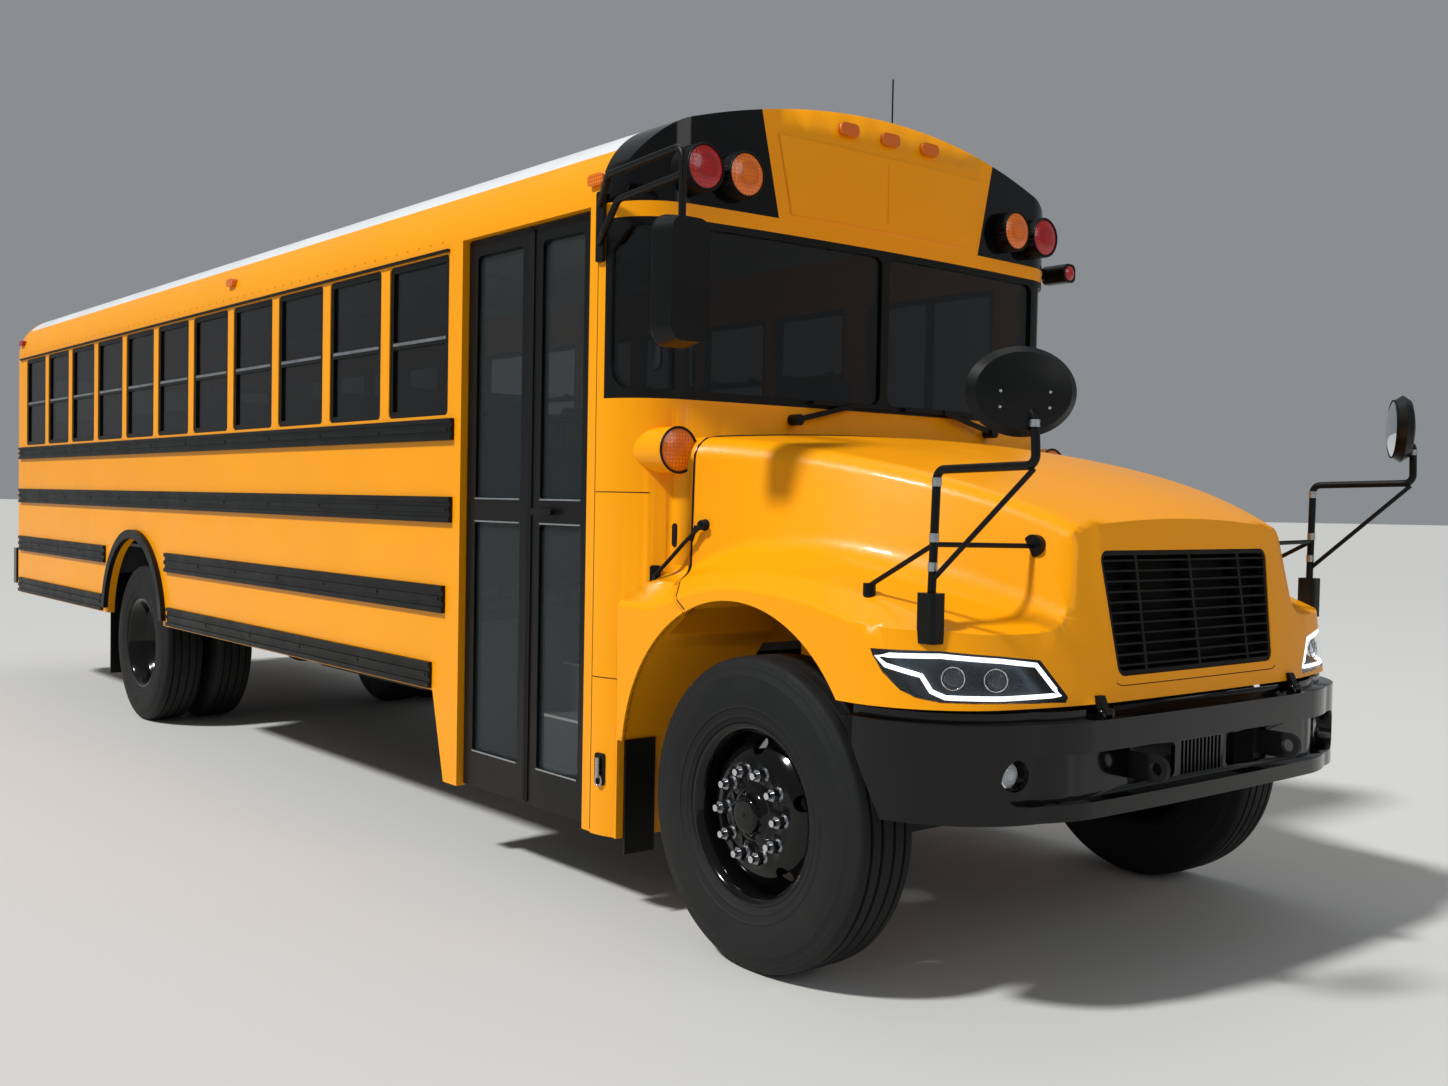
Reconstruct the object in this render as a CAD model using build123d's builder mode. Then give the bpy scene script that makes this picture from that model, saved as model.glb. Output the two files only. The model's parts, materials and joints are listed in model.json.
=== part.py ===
from build123d import *
import os
from math import asin, cos, degrees, radians, sin, tan

# A school bus with its engine ahead of the cab. Millimetres. X runs forward, Y to the driver's
# side and Z up. The origin is on the ground, under the middle of the overall box.

# Overall layout
front_axle_x = 4262.0
wheelbase = 6400.0
rear_overhang = 3080.0
body_half = 1219.0
fold_setback = 879.0
rear_axle_x = front_axle_x - wheelbase
body_rear_x = rear_axle_x - rear_overhang
fold_x = front_axle_x - fold_setback
touch_gap = 0.3

# Body section
wall = 45.0
skirt_z = 690.0
floor_top_z = 1010.0
floor_thickness = 40.0
floor_z = floor_top_z - floor_thickness
seam_z = 2700.0
eave_z = 2650.0
eave_radius = 330.0
roof_slope = 17.0
eave_y = body_half - eave_radius
crown_span = eave_y / sin(radians(roof_slope))
crown_z = eave_z - crown_span * cos(radians(roof_slope))
crown_radius = crown_span + eave_radius
roof_top_z = crown_z + crown_radius

# Side windows
window_count = 11
window_pitch = 656.5
window_post = 88.0
window_front_x = front_axle_x - 2035.0
window_sill_z = 1906.0
window_head_z = 2605.0
window_corner = 25.0
window_width = window_pitch - window_post
frame_band = 30.0
meeting_rail_z = 2240.0
meeting_rail = 34.0
glass = 6.0
frame_depth = 30.0

# Entrance door
door_front_x = front_axle_x - 945.0
door_rear_x = front_axle_x - 1917.0
door_low_z = 304.0
door_head_z = 2645.0
step_panel_z = 300.0
step_panel_rear_x = front_axle_x - 2033.0
step_panel_top_x = front_axle_x - 2143.0
leaf_inset = 30.0
leaf_thickness = 34.0
leaf_gap = 6.0
leaf_stile = 72.0
leaf_rail = 66.0
leaf_mid_z = 1497.0
leaf_mid_rail = 90.0
leaf_low_rail = 150.0

# Cab front
plan_radius = 250.0
plan_front_x = front_axle_x - 590.0
cowl_top_z = 1925.0
visor_z = 2588.0
cap_rear_x = front_axle_x - 890.0

# Hood
hood_rear_x = front_axle_x - 525.0
hood_gap = 6.0
hood_skin = 16.0
hood_low_z = 950.0
fender_half = 1200.0
nose_lean = 8.5
nose_base_z = 1014.0
hood_hinge_x = front_axle_x + 930.0
hood_hinge_y = 560.0
hood_hinge_z = 926.0
hinge_pin_radius = 7.0
hinge_ear_radius = 14.0
hinge_ear_half = 16.0
hinge_lug = 12.0

# Front wheel arch
arch_x = front_axle_x - 105.0
arch_z = 604.0
arch_radius = 616.0
arch_liner = 16.0
arch_inner_y = 640.0
arch_rear_x = front_axle_x - 747.0

# Rear wheel arch
rear_arch_x = rear_axle_x + 55.0
rear_arch_z = 640.0
rear_arch_radius = 592.0
trim_width = 58.0
trim_stand = 32.0

# Wheels and tyres
tyre_radius = 522.0
tyre_half = 139.5
rim_radius = 286.0
flange_radius = 300.0
rim_wall = 12.0
front_track_y = 1074.0
rear_outer_y = 1033.0
dual_spacing = 330.0
stud_circle = 142.875
stud_count = 10
wheel_z = tyre_radius

# Chassis
rail_y = 430.0
rear_spring_y = 470.0
spring_width = 76.0
rail_width = 76.0
rail_height = 254.0
rail_top_z = 895.0
rail_wall = 10.0
rail_front_x = front_axle_x + 820.0

os.makedirs("parts", exist_ok=True)


def save(body, name):
    body.label = name
    export_step(body, "parts/" + name + ".step")


def both():
    return (-1, 1)


def side_name(side):
    return "right" if side < 0 else "left"


def slab(x_span, y_span, z_span):
    with BuildPart() as solid:
        with BuildSketch(Plane.XY.offset(z_span[0])):
            with Locations(((x_span[0] + x_span[1]) / 2, (y_span[0] + y_span[1]) / 2)):
                Rectangle(x_span[1] - x_span[0], y_span[1] - y_span[0])
        extrude(amount=z_span[1] - z_span[0])
    return solid.part


# Sections of the body


def eave_at(angle, radius, side):
    turn = radians(angle)
    return (side * (eave_y + radius * cos(turn)), eave_z + radius * sin(turn))


def seam_angle(radius):
    return degrees(asin((seam_z - eave_z) / radius))


def side_band(side, low_z, x_at):
    inner = eave_radius - wall
    with BuildSketch(Plane.YZ.offset(x_at)) as band:
        with BuildLine():
            outer_low = (side * body_half, low_z)
            outer_eave = eave_at(0, eave_radius, side)
            outer_mid = eave_at(seam_angle(eave_radius) / 2, eave_radius, side)
            outer_top = eave_at(seam_angle(eave_radius), eave_radius, side)
            inner_top = eave_at(seam_angle(inner), inner, side)
            inner_mid = eave_at(seam_angle(inner) / 2, inner, side)
            inner_eave = eave_at(0, inner, side)
            inner_low = (side * (body_half - wall), low_z)
            Line(outer_low, outer_eave)
            ThreePointArc(outer_eave, outer_mid, outer_top)
            Line(outer_top, inner_top)
            ThreePointArc(inner_top, inner_mid, inner_eave)
            Line(inner_eave, inner_low)
            Line(inner_low, outer_low)
        make_face()
    return band.sketch


def roof_fill(inset, low_z, x_at):
    radius = eave_radius - inset
    start = max(0, seam_angle(radius)) if low_z >= seam_z else 0
    crest = (0, crown_z + crown_radius - inset)
    bend = 90 - roof_slope
    with BuildSketch(Plane.YZ.offset(x_at)) as fill:
        with BuildLine():
            for side in both():
                foot = eave_at(start, radius, side)
                knee = eave_at((start + bend) / 2, radius, side)
                shoulder = eave_at(bend, radius, side)
                ThreePointArc(foot, knee, shoulder)
                if low_z < seam_z:
                    Line((side * (body_half - inset), low_z), foot)
            ThreePointArc(eave_at(bend, radius, -1), crest, eave_at(bend, radius, 1))
            if low_z < seam_z:
                Line((-body_half + inset, low_z), (body_half - inset, low_z))
            else:
                Line(eave_at(start, radius, -1), eave_at(start, radius, 1))
        make_face()
    return fill.sketch


def plan_fill(inset, rear_x, z_at):
    corner_y = body_half - plan_radius
    radius = plan_radius - inset
    corner_x = fold_x
    diagonal = radius * cos(radians(45))
    with BuildSketch(Plane.XY.offset(z_at)) as fill:
        with BuildLine():
            for side in both():
                edge = (corner_x, side * (body_half - inset))
                knee = (corner_x + diagonal, side * (corner_y + diagonal))
                nose = (corner_x + radius, side * corner_y)
                Line((rear_x, side * (body_half - inset)), edge)
                ThreePointArc(edge, knee, nose)
            left_nose = (corner_x + radius, corner_y)
            right_nose = (corner_x + radius, -corner_y)
            ThreePointArc(right_nose, (plan_front_x - inset, 0), left_nose)
            Line((rear_x, -body_half + inset), (rear_x, body_half - inset))
        make_face()
    return fill.sketch


def wall_plane(side):
    return Plane.XZ.offset(-side * (body_half - wall / 2))


def tube(points, radius, bend):
    with BuildPart() as rod:
        with BuildLine() as path:
            FilletPolyline(*points, radius=bend)
        with BuildSketch(Plane(origin=path.line @ 0, z_dir=path.line % 0)):
            Circle(radius)
        sweep()
    return rod.part


# Side walls, with their windows, the rear wheel arches and the entrance
rear_cap_depth = 120.0
wall_rear_x = body_rear_x + rear_cap_depth
window_mid_x = window_front_x - (window_count * window_pitch - window_post) / 2
window_mid_z = (window_sill_z + window_head_z) / 2
window_height = window_head_z - window_sill_z
driver_window_front_x = front_axle_x - 1010.0
driver_window_rear_x = front_axle_x - 1870.0
driver_window_sill_z = 1790.0
cut_depth = 80.0
left_panel_top_x = front_axle_x - 1250.0
left_panel_low_x = front_axle_x - 1140.0
panel_low = {-1: step_panel_z, 1: step_panel_z}
panel_top_x = {-1: step_panel_top_x, 1: left_panel_top_x}
panel_low_x = {-1: step_panel_rear_x, 1: left_panel_low_x}
driver_window_mid = (
    (driver_window_front_x + driver_window_rear_x) / 2,
    (driver_window_sill_z + window_head_z) / 2,
)
driver_window_size = (
    driver_window_front_x - driver_window_rear_x,
    window_head_z - driver_window_sill_z,
)

for side in both():
    with BuildPart() as side_wall:
        extrude(side_band(side, panel_low[side], wall_rear_x), amount=cap_rear_x - wall_rear_x)
        with BuildSketch(wall_plane(side)):
            with BuildLine():
                Polyline(
                    (wall_rear_x - 10, panel_low[side] - 10),
                    (wall_rear_x - 10, skirt_z),
                    (panel_top_x[side], skirt_z),
                    (panel_low_x[side], panel_low[side] - 10),
                    close=True,
                )
            make_face()
            with Locations((rear_arch_x, rear_arch_z)):
                Circle(rear_arch_radius)
            with Locations((window_mid_x, window_mid_z)):
                with GridLocations(window_pitch, window_height, window_count, 1):
                    RectangleRounded(window_width, window_height, window_corner)
            if side < 0:
                with BuildLine():
                    Polyline(
                        (door_rear_x, panel_low[side] - 10),
                        (door_rear_x, door_head_z),
                        (door_front_x, door_head_z),
                        (door_front_x, panel_low[side] - 10),
                        close=True,
                    )
                make_face()
            else:
                with Locations(driver_window_mid):
                    RectangleRounded(*driver_window_size, window_corner)
        extrude(amount=cut_depth, both=True, mode=Mode.SUBTRACT)
    save(side_wall.part, "side_wall_" + side_name(side))

# Roof
with BuildPart() as roof_shell:
    extrude(roof_fill(0, seam_z, wall_rear_x), amount=cap_rear_x - wall_rear_x)
    extrude(
        roof_fill(wall, seam_z, wall_rear_x),
        amount=cap_rear_x - wall_rear_x,
        mode=Mode.SUBTRACT,
    )
save(roof_shell.part, "roof_shell")

# Front cap over the windshield


def cab_solid(inset, low_z):
    with BuildPart() as block:
        extrude(roof_fill(inset, low_z, cap_rear_x), amount=cap_rear_x - fold_x + plan_radius * 2)
        extrude(
            plan_fill(inset, cap_rear_x, low_z),
            amount=roof_top_z - low_z + 20,
            mode=Mode.INTERSECT,
        )
    return block.part


cap_panel_low = (520.0, 2668.0)
cap_panel_high = (590.0, 2965.0)
panel_raise = 6.0
with BuildPart() as cap_panel:
    add(cab_solid(-panel_raise, visor_z))
    with BuildSketch(Plane.YZ.offset(plan_front_x - 60)):
        with BuildLine():
            Polyline(
                (-cap_panel_low[0], cap_panel_low[1]),
                (cap_panel_low[0], cap_panel_low[1]),
                (cap_panel_high[0], cap_panel_high[1]),
                (-cap_panel_high[0], cap_panel_high[1]),
                close=True,
            )
        make_face()
    extrude(amount=100, mode=Mode.INTERSECT)

with BuildPart() as front_cap:
    add(cab_solid(0, visor_z))
    add(cap_panel.part)
    add(cab_solid(wall, visor_z), mode=Mode.SUBTRACT)
save(front_cap.part, "front_cap")

# Rear wall with the emergency doorway and two windows
rear_edge = 60.0
exit_half = 400.0
exit_low_z = 1120.0
exit_head_z = 2520.0
rear_window_y = 745.0
rear_window_width = 430.0
rear_window_low_z = 1950.0
rear_window_high_z = 2500.0
rear_window_mid_z = (rear_window_low_z + rear_window_high_z) / 2
exit_lap = 28.0
exit_slab = 30.0
exit_door_half = exit_half + exit_lap
exit_outer_x = body_rear_x - touch_gap - exit_slab
exit_hinge_x = exit_outer_x
exit_hinge_y = -exit_door_half - 3.0
exit_hinge_spots = (1330.0, 1820.0, 2310.0)
barrel_radius = 11.0
hinge_half = 30.0
bracket_half = 16.0
bracket_arm = 46.0
hinge_clear = 6.0
with BuildPart() as rear_wall:
    extrude(roof_fill(0, skirt_z, body_rear_x), amount=rear_cap_depth)
    rear_face = rear_wall.faces().sort_by(Axis.X)[0]
    rounded = rear_face.edges().filter_by(lambda edge: edge.center().Z > skirt_z + 1)
    fillet(rounded, rear_edge)
    extrude(
        roof_fill(wall, skirt_z, body_rear_x + wall),
        amount=rear_cap_depth,
        mode=Mode.SUBTRACT,
    )
    with BuildSketch(Plane.YZ.offset(body_rear_x - 10)):
        with Locations((0, (exit_low_z + exit_head_z) / 2)):
            Rectangle(2 * exit_half, exit_head_z - exit_low_z)
        with Locations(*[(side * rear_window_y, rear_window_mid_z) for side in both()]):
            RectangleRounded(
                rear_window_width,
                rear_window_high_z - rear_window_low_z,
                window_corner,
            )
    extrude(amount=wall + 20, mode=Mode.SUBTRACT)
    rear_span = (body_rear_x - 1, wall_rear_x + 1)
    height_span = (skirt_z - 1, roof_top_z + 1)
    add(
        slab(
            (body_rear_x + wall, body_rear_x + wall + touch_gap),
            (-body_half - 1, body_half + 1),
            height_span,
        ),
        mode=Mode.SUBTRACT,
    )
    for side in both():
        add(
            slab(
                rear_span,
                (side * exit_half - touch_gap / 2, side * exit_half + touch_gap / 2),
                height_span,
            ),
            mode=Mode.SUBTRACT,
        )
    arm_depth = body_rear_x - exit_hinge_x + barrel_radius
    arm_spot = (body_rear_x - arm_depth / 2, exit_hinge_y - bracket_arm / 2)
    for height in exit_hinge_spots:
        below = height - hinge_half - 2 * bracket_half - touch_gap
        above = height + hinge_half + touch_gap
        for low_z in (below, above):
            with BuildSketch(Plane.XY.offset(low_z)):
                with Locations((exit_hinge_x, exit_hinge_y)):
                    Circle(barrel_radius)
                with Locations(arm_spot):
                    Rectangle(arm_depth, bracket_arm)
            extrude(amount=2 * bracket_half)
save(rear_wall.part, "rear_wall")

# Hood: sections across the bus, from the cowl to just past the nose
hood_rows = (
    dict(x=-525, crest=1820, shoulder=(1040, 1780), valley=(1049, 1290), crown=(1122, 1252), lip=1165),
    dict(x=-105, crest=1783, shoulder=(880, 1738), valley=(975, 1400), crown=(1130, 1325), lip=1262),
    dict(x=330, crest=1697, shoulder=(752, 1655), valley=(870, 1335), crown=(1110, 1295), lip=1225),
    dict(x=690, crest=1585, shoulder=(639, 1548), valley=(722, 1235), crown=(1060, 1195), lip=1140),
    dict(x=960, crest=1450, shoulder=(560, 1418), valley=(650, 1130), crown=(1000, 1108), lip=1068),
)
hood_radii = (
    dict(shoulder=90, valley=45, crown=60, lip=40),
    dict(shoulder=90, valley=110, crown=90, lip=30),
    dict(shoulder=80, valley=130, crown=90, lip=30),
    dict(shoulder=70, valley=120, crown=90, lip=30),
    dict(shoulder=60, valley=100, crown=90, lip=30),
)


def hood_face(row, radii, inset, low_z):
    outline = []
    for name in ("shoulder", "valley", "crown"):
        across, height = row[name]
        outline.append((across - inset, height - inset))
    outline.append((fender_half - inset, row["lip"] - inset / 2))
    with BuildSketch(Plane.YZ.offset(front_axle_x + row["x"])) as face:
        with BuildLine():
            left = [(across, height) for across, height in outline]
            right = [(-across, height) for across, height in reversed(outline)]
            low_left = (fender_half - inset, low_z)
            low_right = (-fender_half + inset, low_z)
            ThreePointArc(right[-1], (0, row["crest"] - inset), left[0])
            Polyline(*left, low_left, low_right, *right)
        make_face()
        for name, corner in zip(("shoulder", "valley", "crown", "lip"), outline):
            for side in both():
                spot = (side * corner[0], corner[1])
                vertex = face.vertices().sort_by_distance(spot)[0]
                fillet(vertex, radii[name])
    return face.sketch


def hood_solid(inset, low_z):
    with BuildPart() as body:
        loft([hood_face(row, radii, inset, low_z) for row, radii in zip(hood_rows, hood_radii)])
    return body.part


def nose_solid(inset, low_z, high_z):
    lean = tan(radians(nose_lean))
    shift = front_axle_x + lean * (nose_base_z - low_z) - inset
    side_y = fender_half - inset
    with BuildPart() as prism:
        with BuildSketch(Plane.XY.offset(low_z)):
            with BuildLine():
                for side in both():
                    Line((hood_rear_x - 900, side * side_y), (shift + 402, side * side_y))
                    ThreePointArc(
                        (shift + 402, side * side_y),
                        (shift + 705, side * (1105 - inset)),
                        (shift + 835, side * (890 - inset)),
                    )
                    ThreePointArc(
                        (shift + 835, side * (890 - inset)),
                        (shift + 878, side * 689),
                        (shift + 901, side * 490),
                    )
                ThreePointArc((shift + 901, -490), (shift + 907, 0), (shift + 901, 490))
                Line((hood_rear_x - 900, -side_y), (hood_rear_x - 900, side_y))
            make_face()
        extrude(amount=(high_z - low_z) * 1.1, dir=(-lean, 0, 1))
    return prism.part


def nose_body(inset, low_z):
    with BuildPart() as body:
        add(hood_solid(inset, low_z))
        add(nose_solid(inset, low_z - 5, 1900), mode=Mode.INTERSECT)
    return body.part


def arch_cylinder(side, radius, from_y, to_y, centre):
    with BuildPart() as drum:
        with BuildSketch(Plane.XZ.offset(-side * from_y)):
            with Locations(centre):
                Circle(radius)
        extrude(amount=-side * (to_y - from_y))
    return drum.part


house_centre = (front_axle_x - 60, 560.0)
house_radius = 690.0
house_outer_y = fender_half - hood_skin
seam_low_x = front_axle_x - 363
seam_low_z = 1165.0
seam_high_z = 1283.0
disc_y = arch_inner_y - 15


def seam_region(shift, side):
    with BuildPart() as block:
        with BuildSketch(Plane.XZ.offset(-side * fender_half)):
            with BuildLine():
                Polyline(
                    (hood_rear_x - 400, seam_high_z),
                    (hood_rear_x + shift, seam_high_z),
                    (seam_low_x + shift, seam_low_z),
                    (seam_low_x + shift, 200),
                    (hood_rear_x - 400, 200),
                    close=True,
                )
            make_face()
        extrude(amount=side * 620)
        extrude(block.faces().filter_by(Axis.Y).sort_by(Axis.Y)[-1 if side > 0 else 0], amount=60)
    return block.part


lamp_spots = (
    (247, 1121),
    (39, 1123),
    (-135, 1108),
    (-255, 1092),
    (-342, 978),
    (-336, 961),
    (-138, 968),
    (35, 971),
    (108, 983),
    (153, 1003),
    (208, 1052),
    (240, 1101),
)
lamp_turn = radians(50)
lamp_depth = 60.0


def lamp_block(side, shrink):
    plane = Plane(
        origin=(front_axle_x + 700, side * 1000, 0),
        x_dir=(-sin(lamp_turn), side * cos(lamp_turn), 0),
        z_dir=(side * cos(lamp_turn), sin(lamp_turn), 0),
    )
    with BuildPart() as block:
        with BuildSketch(plane):
            with BuildLine():
                Polyline(*lamp_spots, close=True)
            make_face()
            if shrink > 0:
                offset(amount=-shrink)
        extrude(amount=300, both=True)
    return block.part


grille_top = (490.0, 1419.0)
grille_low = (453.0, 1026.0)
grille_corner = 34.0


def grille_fill(shrink):
    with BuildSketch(Plane.YZ.offset(front_axle_x + 700)) as fill:
        with BuildLine():
            Polyline(
                (-grille_top[0], grille_top[1]),
                (grille_top[0], grille_top[1]),
                (grille_low[0], grille_low[1]),
                (-grille_low[0], grille_low[1]),
                close=True,
            )
        make_face()
        fillet(fill.vertices(), grille_corner)
        if shrink > 0:
            offset(amount=-shrink)
    return fill.sketch


nose_outer = nose_body(0, hood_low_z)

with BuildPart() as hood_cavity:
    add(nose_body(hood_skin, hood_low_z - 10))
    for side in both():
        add(
            arch_cylinder(side, house_radius + arch_liner, disc_y, fender_half, house_centre),
            mode=Mode.SUBTRACT,
        )

with BuildPart() as hood:
    add(nose_outer)
    add(hood_cavity.part, mode=Mode.SUBTRACT)
    for side in both():
        add(
            arch_cylinder(side, house_radius, arch_inner_y, house_outer_y, house_centre),
            mode=Mode.SUBTRACT,
        )
        add(
            arch_cylinder(side, arch_radius, arch_inner_y, fender_half + 50, (arch_x, arch_z)),
            mode=Mode.SUBTRACT,
        )
        add(seam_region(0, side), mode=Mode.SUBTRACT)
        add(lamp_block(side, 0), mode=Mode.SUBTRACT)
    extrude(grille_fill(0), amount=400, mode=Mode.SUBTRACT)
    for side in both():
        with BuildSketch(Plane.XZ.offset(-(side * hood_hinge_y - hinge_ear_half))):
            with BuildLine():
                Polyline(
                    (hood_hinge_x, hood_hinge_z + hinge_ear_radius),
                    (hood_hinge_x - 14, hood_low_z + 26),
                    (hood_hinge_x - 34, hood_low_z + 26),
                    (hood_hinge_x - 34, hood_low_z),
                    (hood_hinge_x, hood_hinge_z - 6),
                    close=True,
                )
            make_face()
            with Locations((hood_hinge_x, hood_hinge_z)):
                Circle(hinge_ear_radius)
                Circle(hinge_pin_radius + touch_gap, mode=Mode.SUBTRACT)
        extrude(amount=-2 * hinge_ear_half)
save(hood.part, "hood")

# Headlamps, let into the corners of the nose
with BuildPart() as lamp_pair:
    for side in both():
        add(lamp_block(side, 0))

with BuildPart() as headlamps:
    add(nose_outer)
    add(nose_body(lamp_depth, hood_low_z - 10), mode=Mode.SUBTRACT)
    add(lamp_pair.part, mode=Mode.INTERSECT)
save(headlamps.part, "headlamps")

# Grille: a leaning frame with thin bars across
grille_depth = 50.0
grille_bars = 11
grille_bar_height = 6.0
grille_ring = 16.0
with BuildPart() as grille_zone:
    add(nose_solid(4, hood_low_z, 1900))
    add(nose_solid(4 + grille_depth, hood_low_z - 5, 1905), mode=Mode.SUBTRACT)

with BuildPart() as grille:
    extrude(grille_fill(0), amount=400)
    extrude(grille_fill(grille_ring), amount=400, mode=Mode.SUBTRACT)
    bar_pitch = (grille_top[1] - grille_low[1]) / (grille_bars + 1)
    bar_plane = Plane.YZ.offset(front_axle_x + 700)
    with BuildSketch(bar_plane):
        with Locations((0, (grille_top[1] + grille_low[1]) / 2)):
            with GridLocations(1, bar_pitch, 1, grille_bars):
                Rectangle(2 * grille_top[0], grille_bar_height)
            with GridLocations(300, 1, 3, 1):
                Rectangle(12, grille_top[1] - grille_low[1] - 10)
    extrude(amount=400)
    extrude(grille_fill(0), amount=400, mode=Mode.INTERSECT)
    add(grille_zone.part, mode=Mode.INTERSECT)
save(grille.part, "grille")

# Front cowl: the cab's corners, its firewall, the rear half of the front wheel houses and the posts
post_front_x = front_axle_x - 845.0
house_rear_x = arch_rear_x - 43
cowl_low_z = 296.0
apron_rear_x = arch_rear_x - 13
hood_first = hood_rows[0]
with BuildPart() as cowl_step:
    extrude(
        hood_face(hood_first, hood_radii[0], 0, cowl_low_z),
        amount=-(hood_rear_x - apron_rear_x),
    )

with BuildPart() as fender_rear:
    for side in both():
        add(seam_region(-hood_gap, side))
    add(nose_outer, mode=Mode.INTERSECT)
    with BuildSketch(Plane.XY.offset(hood_low_z)):
        with Locations((hood_rear_x + 100, 0)):
            Rectangle(400, 2 * house_outer_y - 100)
    extrude(amount=400, mode=Mode.SUBTRACT)

with BuildPart() as cab_posts:
    extrude(plan_fill(0, cap_rear_x, cowl_top_z), amount=visor_z - cowl_top_z)
    extrude(
        plan_fill(wall, cap_rear_x, cowl_top_z),
        amount=visor_z - cowl_top_z,
        mode=Mode.SUBTRACT,
    )
    split(bisect_by=Plane.YZ.offset(post_front_x), keep=Keep.BOTTOM)

with BuildPart() as front_cowl:
    extrude(plan_fill(0, cap_rear_x, cowl_low_z), amount=cowl_top_z - cowl_low_z)
    add(cowl_step.part)
    with BuildSketch(Plane.XY.offset(seam_high_z - hood_gap)):
        with Locations((hood_rear_x - hood_gap + 100, 0)):
            Rectangle(200, 2 * body_half)
    extrude(amount=800, mode=Mode.SUBTRACT)
    add(fender_rear.part)
    extrude(plan_fill(wall, cap_rear_x - 1, floor_z), amount=1000, mode=Mode.SUBTRACT)
    with BuildSketch(Plane.YZ.offset(plan_front_x)):
        with BuildLine():
            Polyline(
                (-arch_inner_y, 200),
                (-arch_inner_y, 1650),
                (arch_inner_y, 1650),
                (arch_inner_y, 200),
                close=True,
            )
        make_face()
    extrude(amount=300, mode=Mode.SUBTRACT)
    with BuildSketch(Plane.XY.offset(cowl_low_z - 10)):
        with BuildLine():
            Polyline(
                (cap_rear_x - 1, -body_half + wall),
                (house_rear_x, -body_half + wall),
                (house_rear_x, -arch_inner_y),
                (plan_front_x + 100, -arch_inner_y),
                (plan_front_x + 100, arch_inner_y),
                (house_rear_x, arch_inner_y),
                (house_rear_x, body_half - wall),
                (cap_rear_x - 1, body_half - wall),
                close=True,
            )
        make_face()
    extrude(amount=floor_top_z - cowl_low_z + 10, mode=Mode.SUBTRACT)
    for side in both():
        add(
            arch_cylinder(side, house_radius, arch_inner_y, house_outer_y, house_centre),
            mode=Mode.SUBTRACT,
        )
        add(
            arch_cylinder(side, arch_radius, arch_inner_y, fender_half + 50, (arch_x, arch_z)),
            mode=Mode.SUBTRACT,
        )
        with BuildSketch(Plane.XZ.offset(-side * arch_inner_y)):
            with BuildLine():
                Polyline(
                    (arch_rear_x, cowl_low_z - 10),
                    (arch_rear_x, arch_z + 60),
                    (arch_x, arch_z + 60),
                    (arch_x, cowl_low_z - 10),
                    close=True,
                )
            make_face()
        extrude(amount=-side * 700, mode=Mode.SUBTRACT)
    add(cab_posts.part)
save(front_cowl.part, "front_cowl")

# Windshield: a black band right round the cab's nose, two flat panes and two corner panes
pane_low_z = 1958.0
pane_high_z = 2560.0
pane_half_gap = 22.0
pane_side_y = 985.0
pillar_y = 1045.0
corner_pane_rear_x = front_axle_x - 815.0
corner_pane_drop = 95.0
corner_pane_radius = 90.0
band_depth = 35.0
pane_set = 12.0


def corner_pane():
    with BuildSketch(Plane.XZ) as pane:
        with BuildLine():
            Polyline(
                (plan_front_x + 40, pane_low_z),
                (corner_pane_rear_x, pane_low_z),
                (corner_pane_rear_x, pane_high_z - corner_pane_drop),
                (corner_pane_rear_x + 75, pane_high_z),
                (plan_front_x + 40, pane_high_z),
                close=True,
            )
        make_face()
        low_corner = pane.vertices().sort_by_distance((corner_pane_rear_x, pane_low_z))[0]
        fillet(low_corner, corner_pane_radius)
    return pane.sketch


def pane_openings():
    middle_z = (pane_low_z + pane_high_z) / 2
    spots = [(side * (pane_side_y + pane_half_gap) / 2, middle_z) for side in both()]
    with BuildPart() as openings:
        with BuildSketch(Plane.YZ.offset(plan_front_x - 140)):
            with Locations(*spots):
                RectangleRounded(pane_side_y - pane_half_gap, pane_high_z - pane_low_z, 40)
        extrude(amount=200)
        for side in both():
            pane = Pos(0, side * pillar_y, 0) * corner_pane()
            extrude(pane, amount=-side * 200)
    return openings.part


def cab_ring(outer_inset, inner_inset):
    with BuildPart() as ring:
        extrude(plan_fill(outer_inset, cap_rear_x, cowl_top_z), amount=visor_z - cowl_top_z)
        extrude(
            plan_fill(inner_inset, cap_rear_x, cowl_top_z),
            amount=visor_z - cowl_top_z,
            mode=Mode.SUBTRACT,
        )
        split(bisect_by=Plane.YZ.offset(post_front_x), keep=Keep.TOP)
    return ring.part


with BuildPart() as windshield_band:
    add(cab_ring(0, band_depth))
    add(pane_openings(), mode=Mode.SUBTRACT)

with BuildPart() as windshield_glass:
    add(cab_ring(pane_set, pane_set + glass))
    add(pane_openings(), mode=Mode.INTERSECT)

# Frames and glass of the side and rear windows
frame_set = 6.0
window_spots = [
    (window_front_x - window_width / 2 - index * window_pitch, window_mid_z)
    for index in range(window_count)
]


def window_plane(side):
    return Plane.XZ.offset(-side * (body_half - frame_set))


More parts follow.
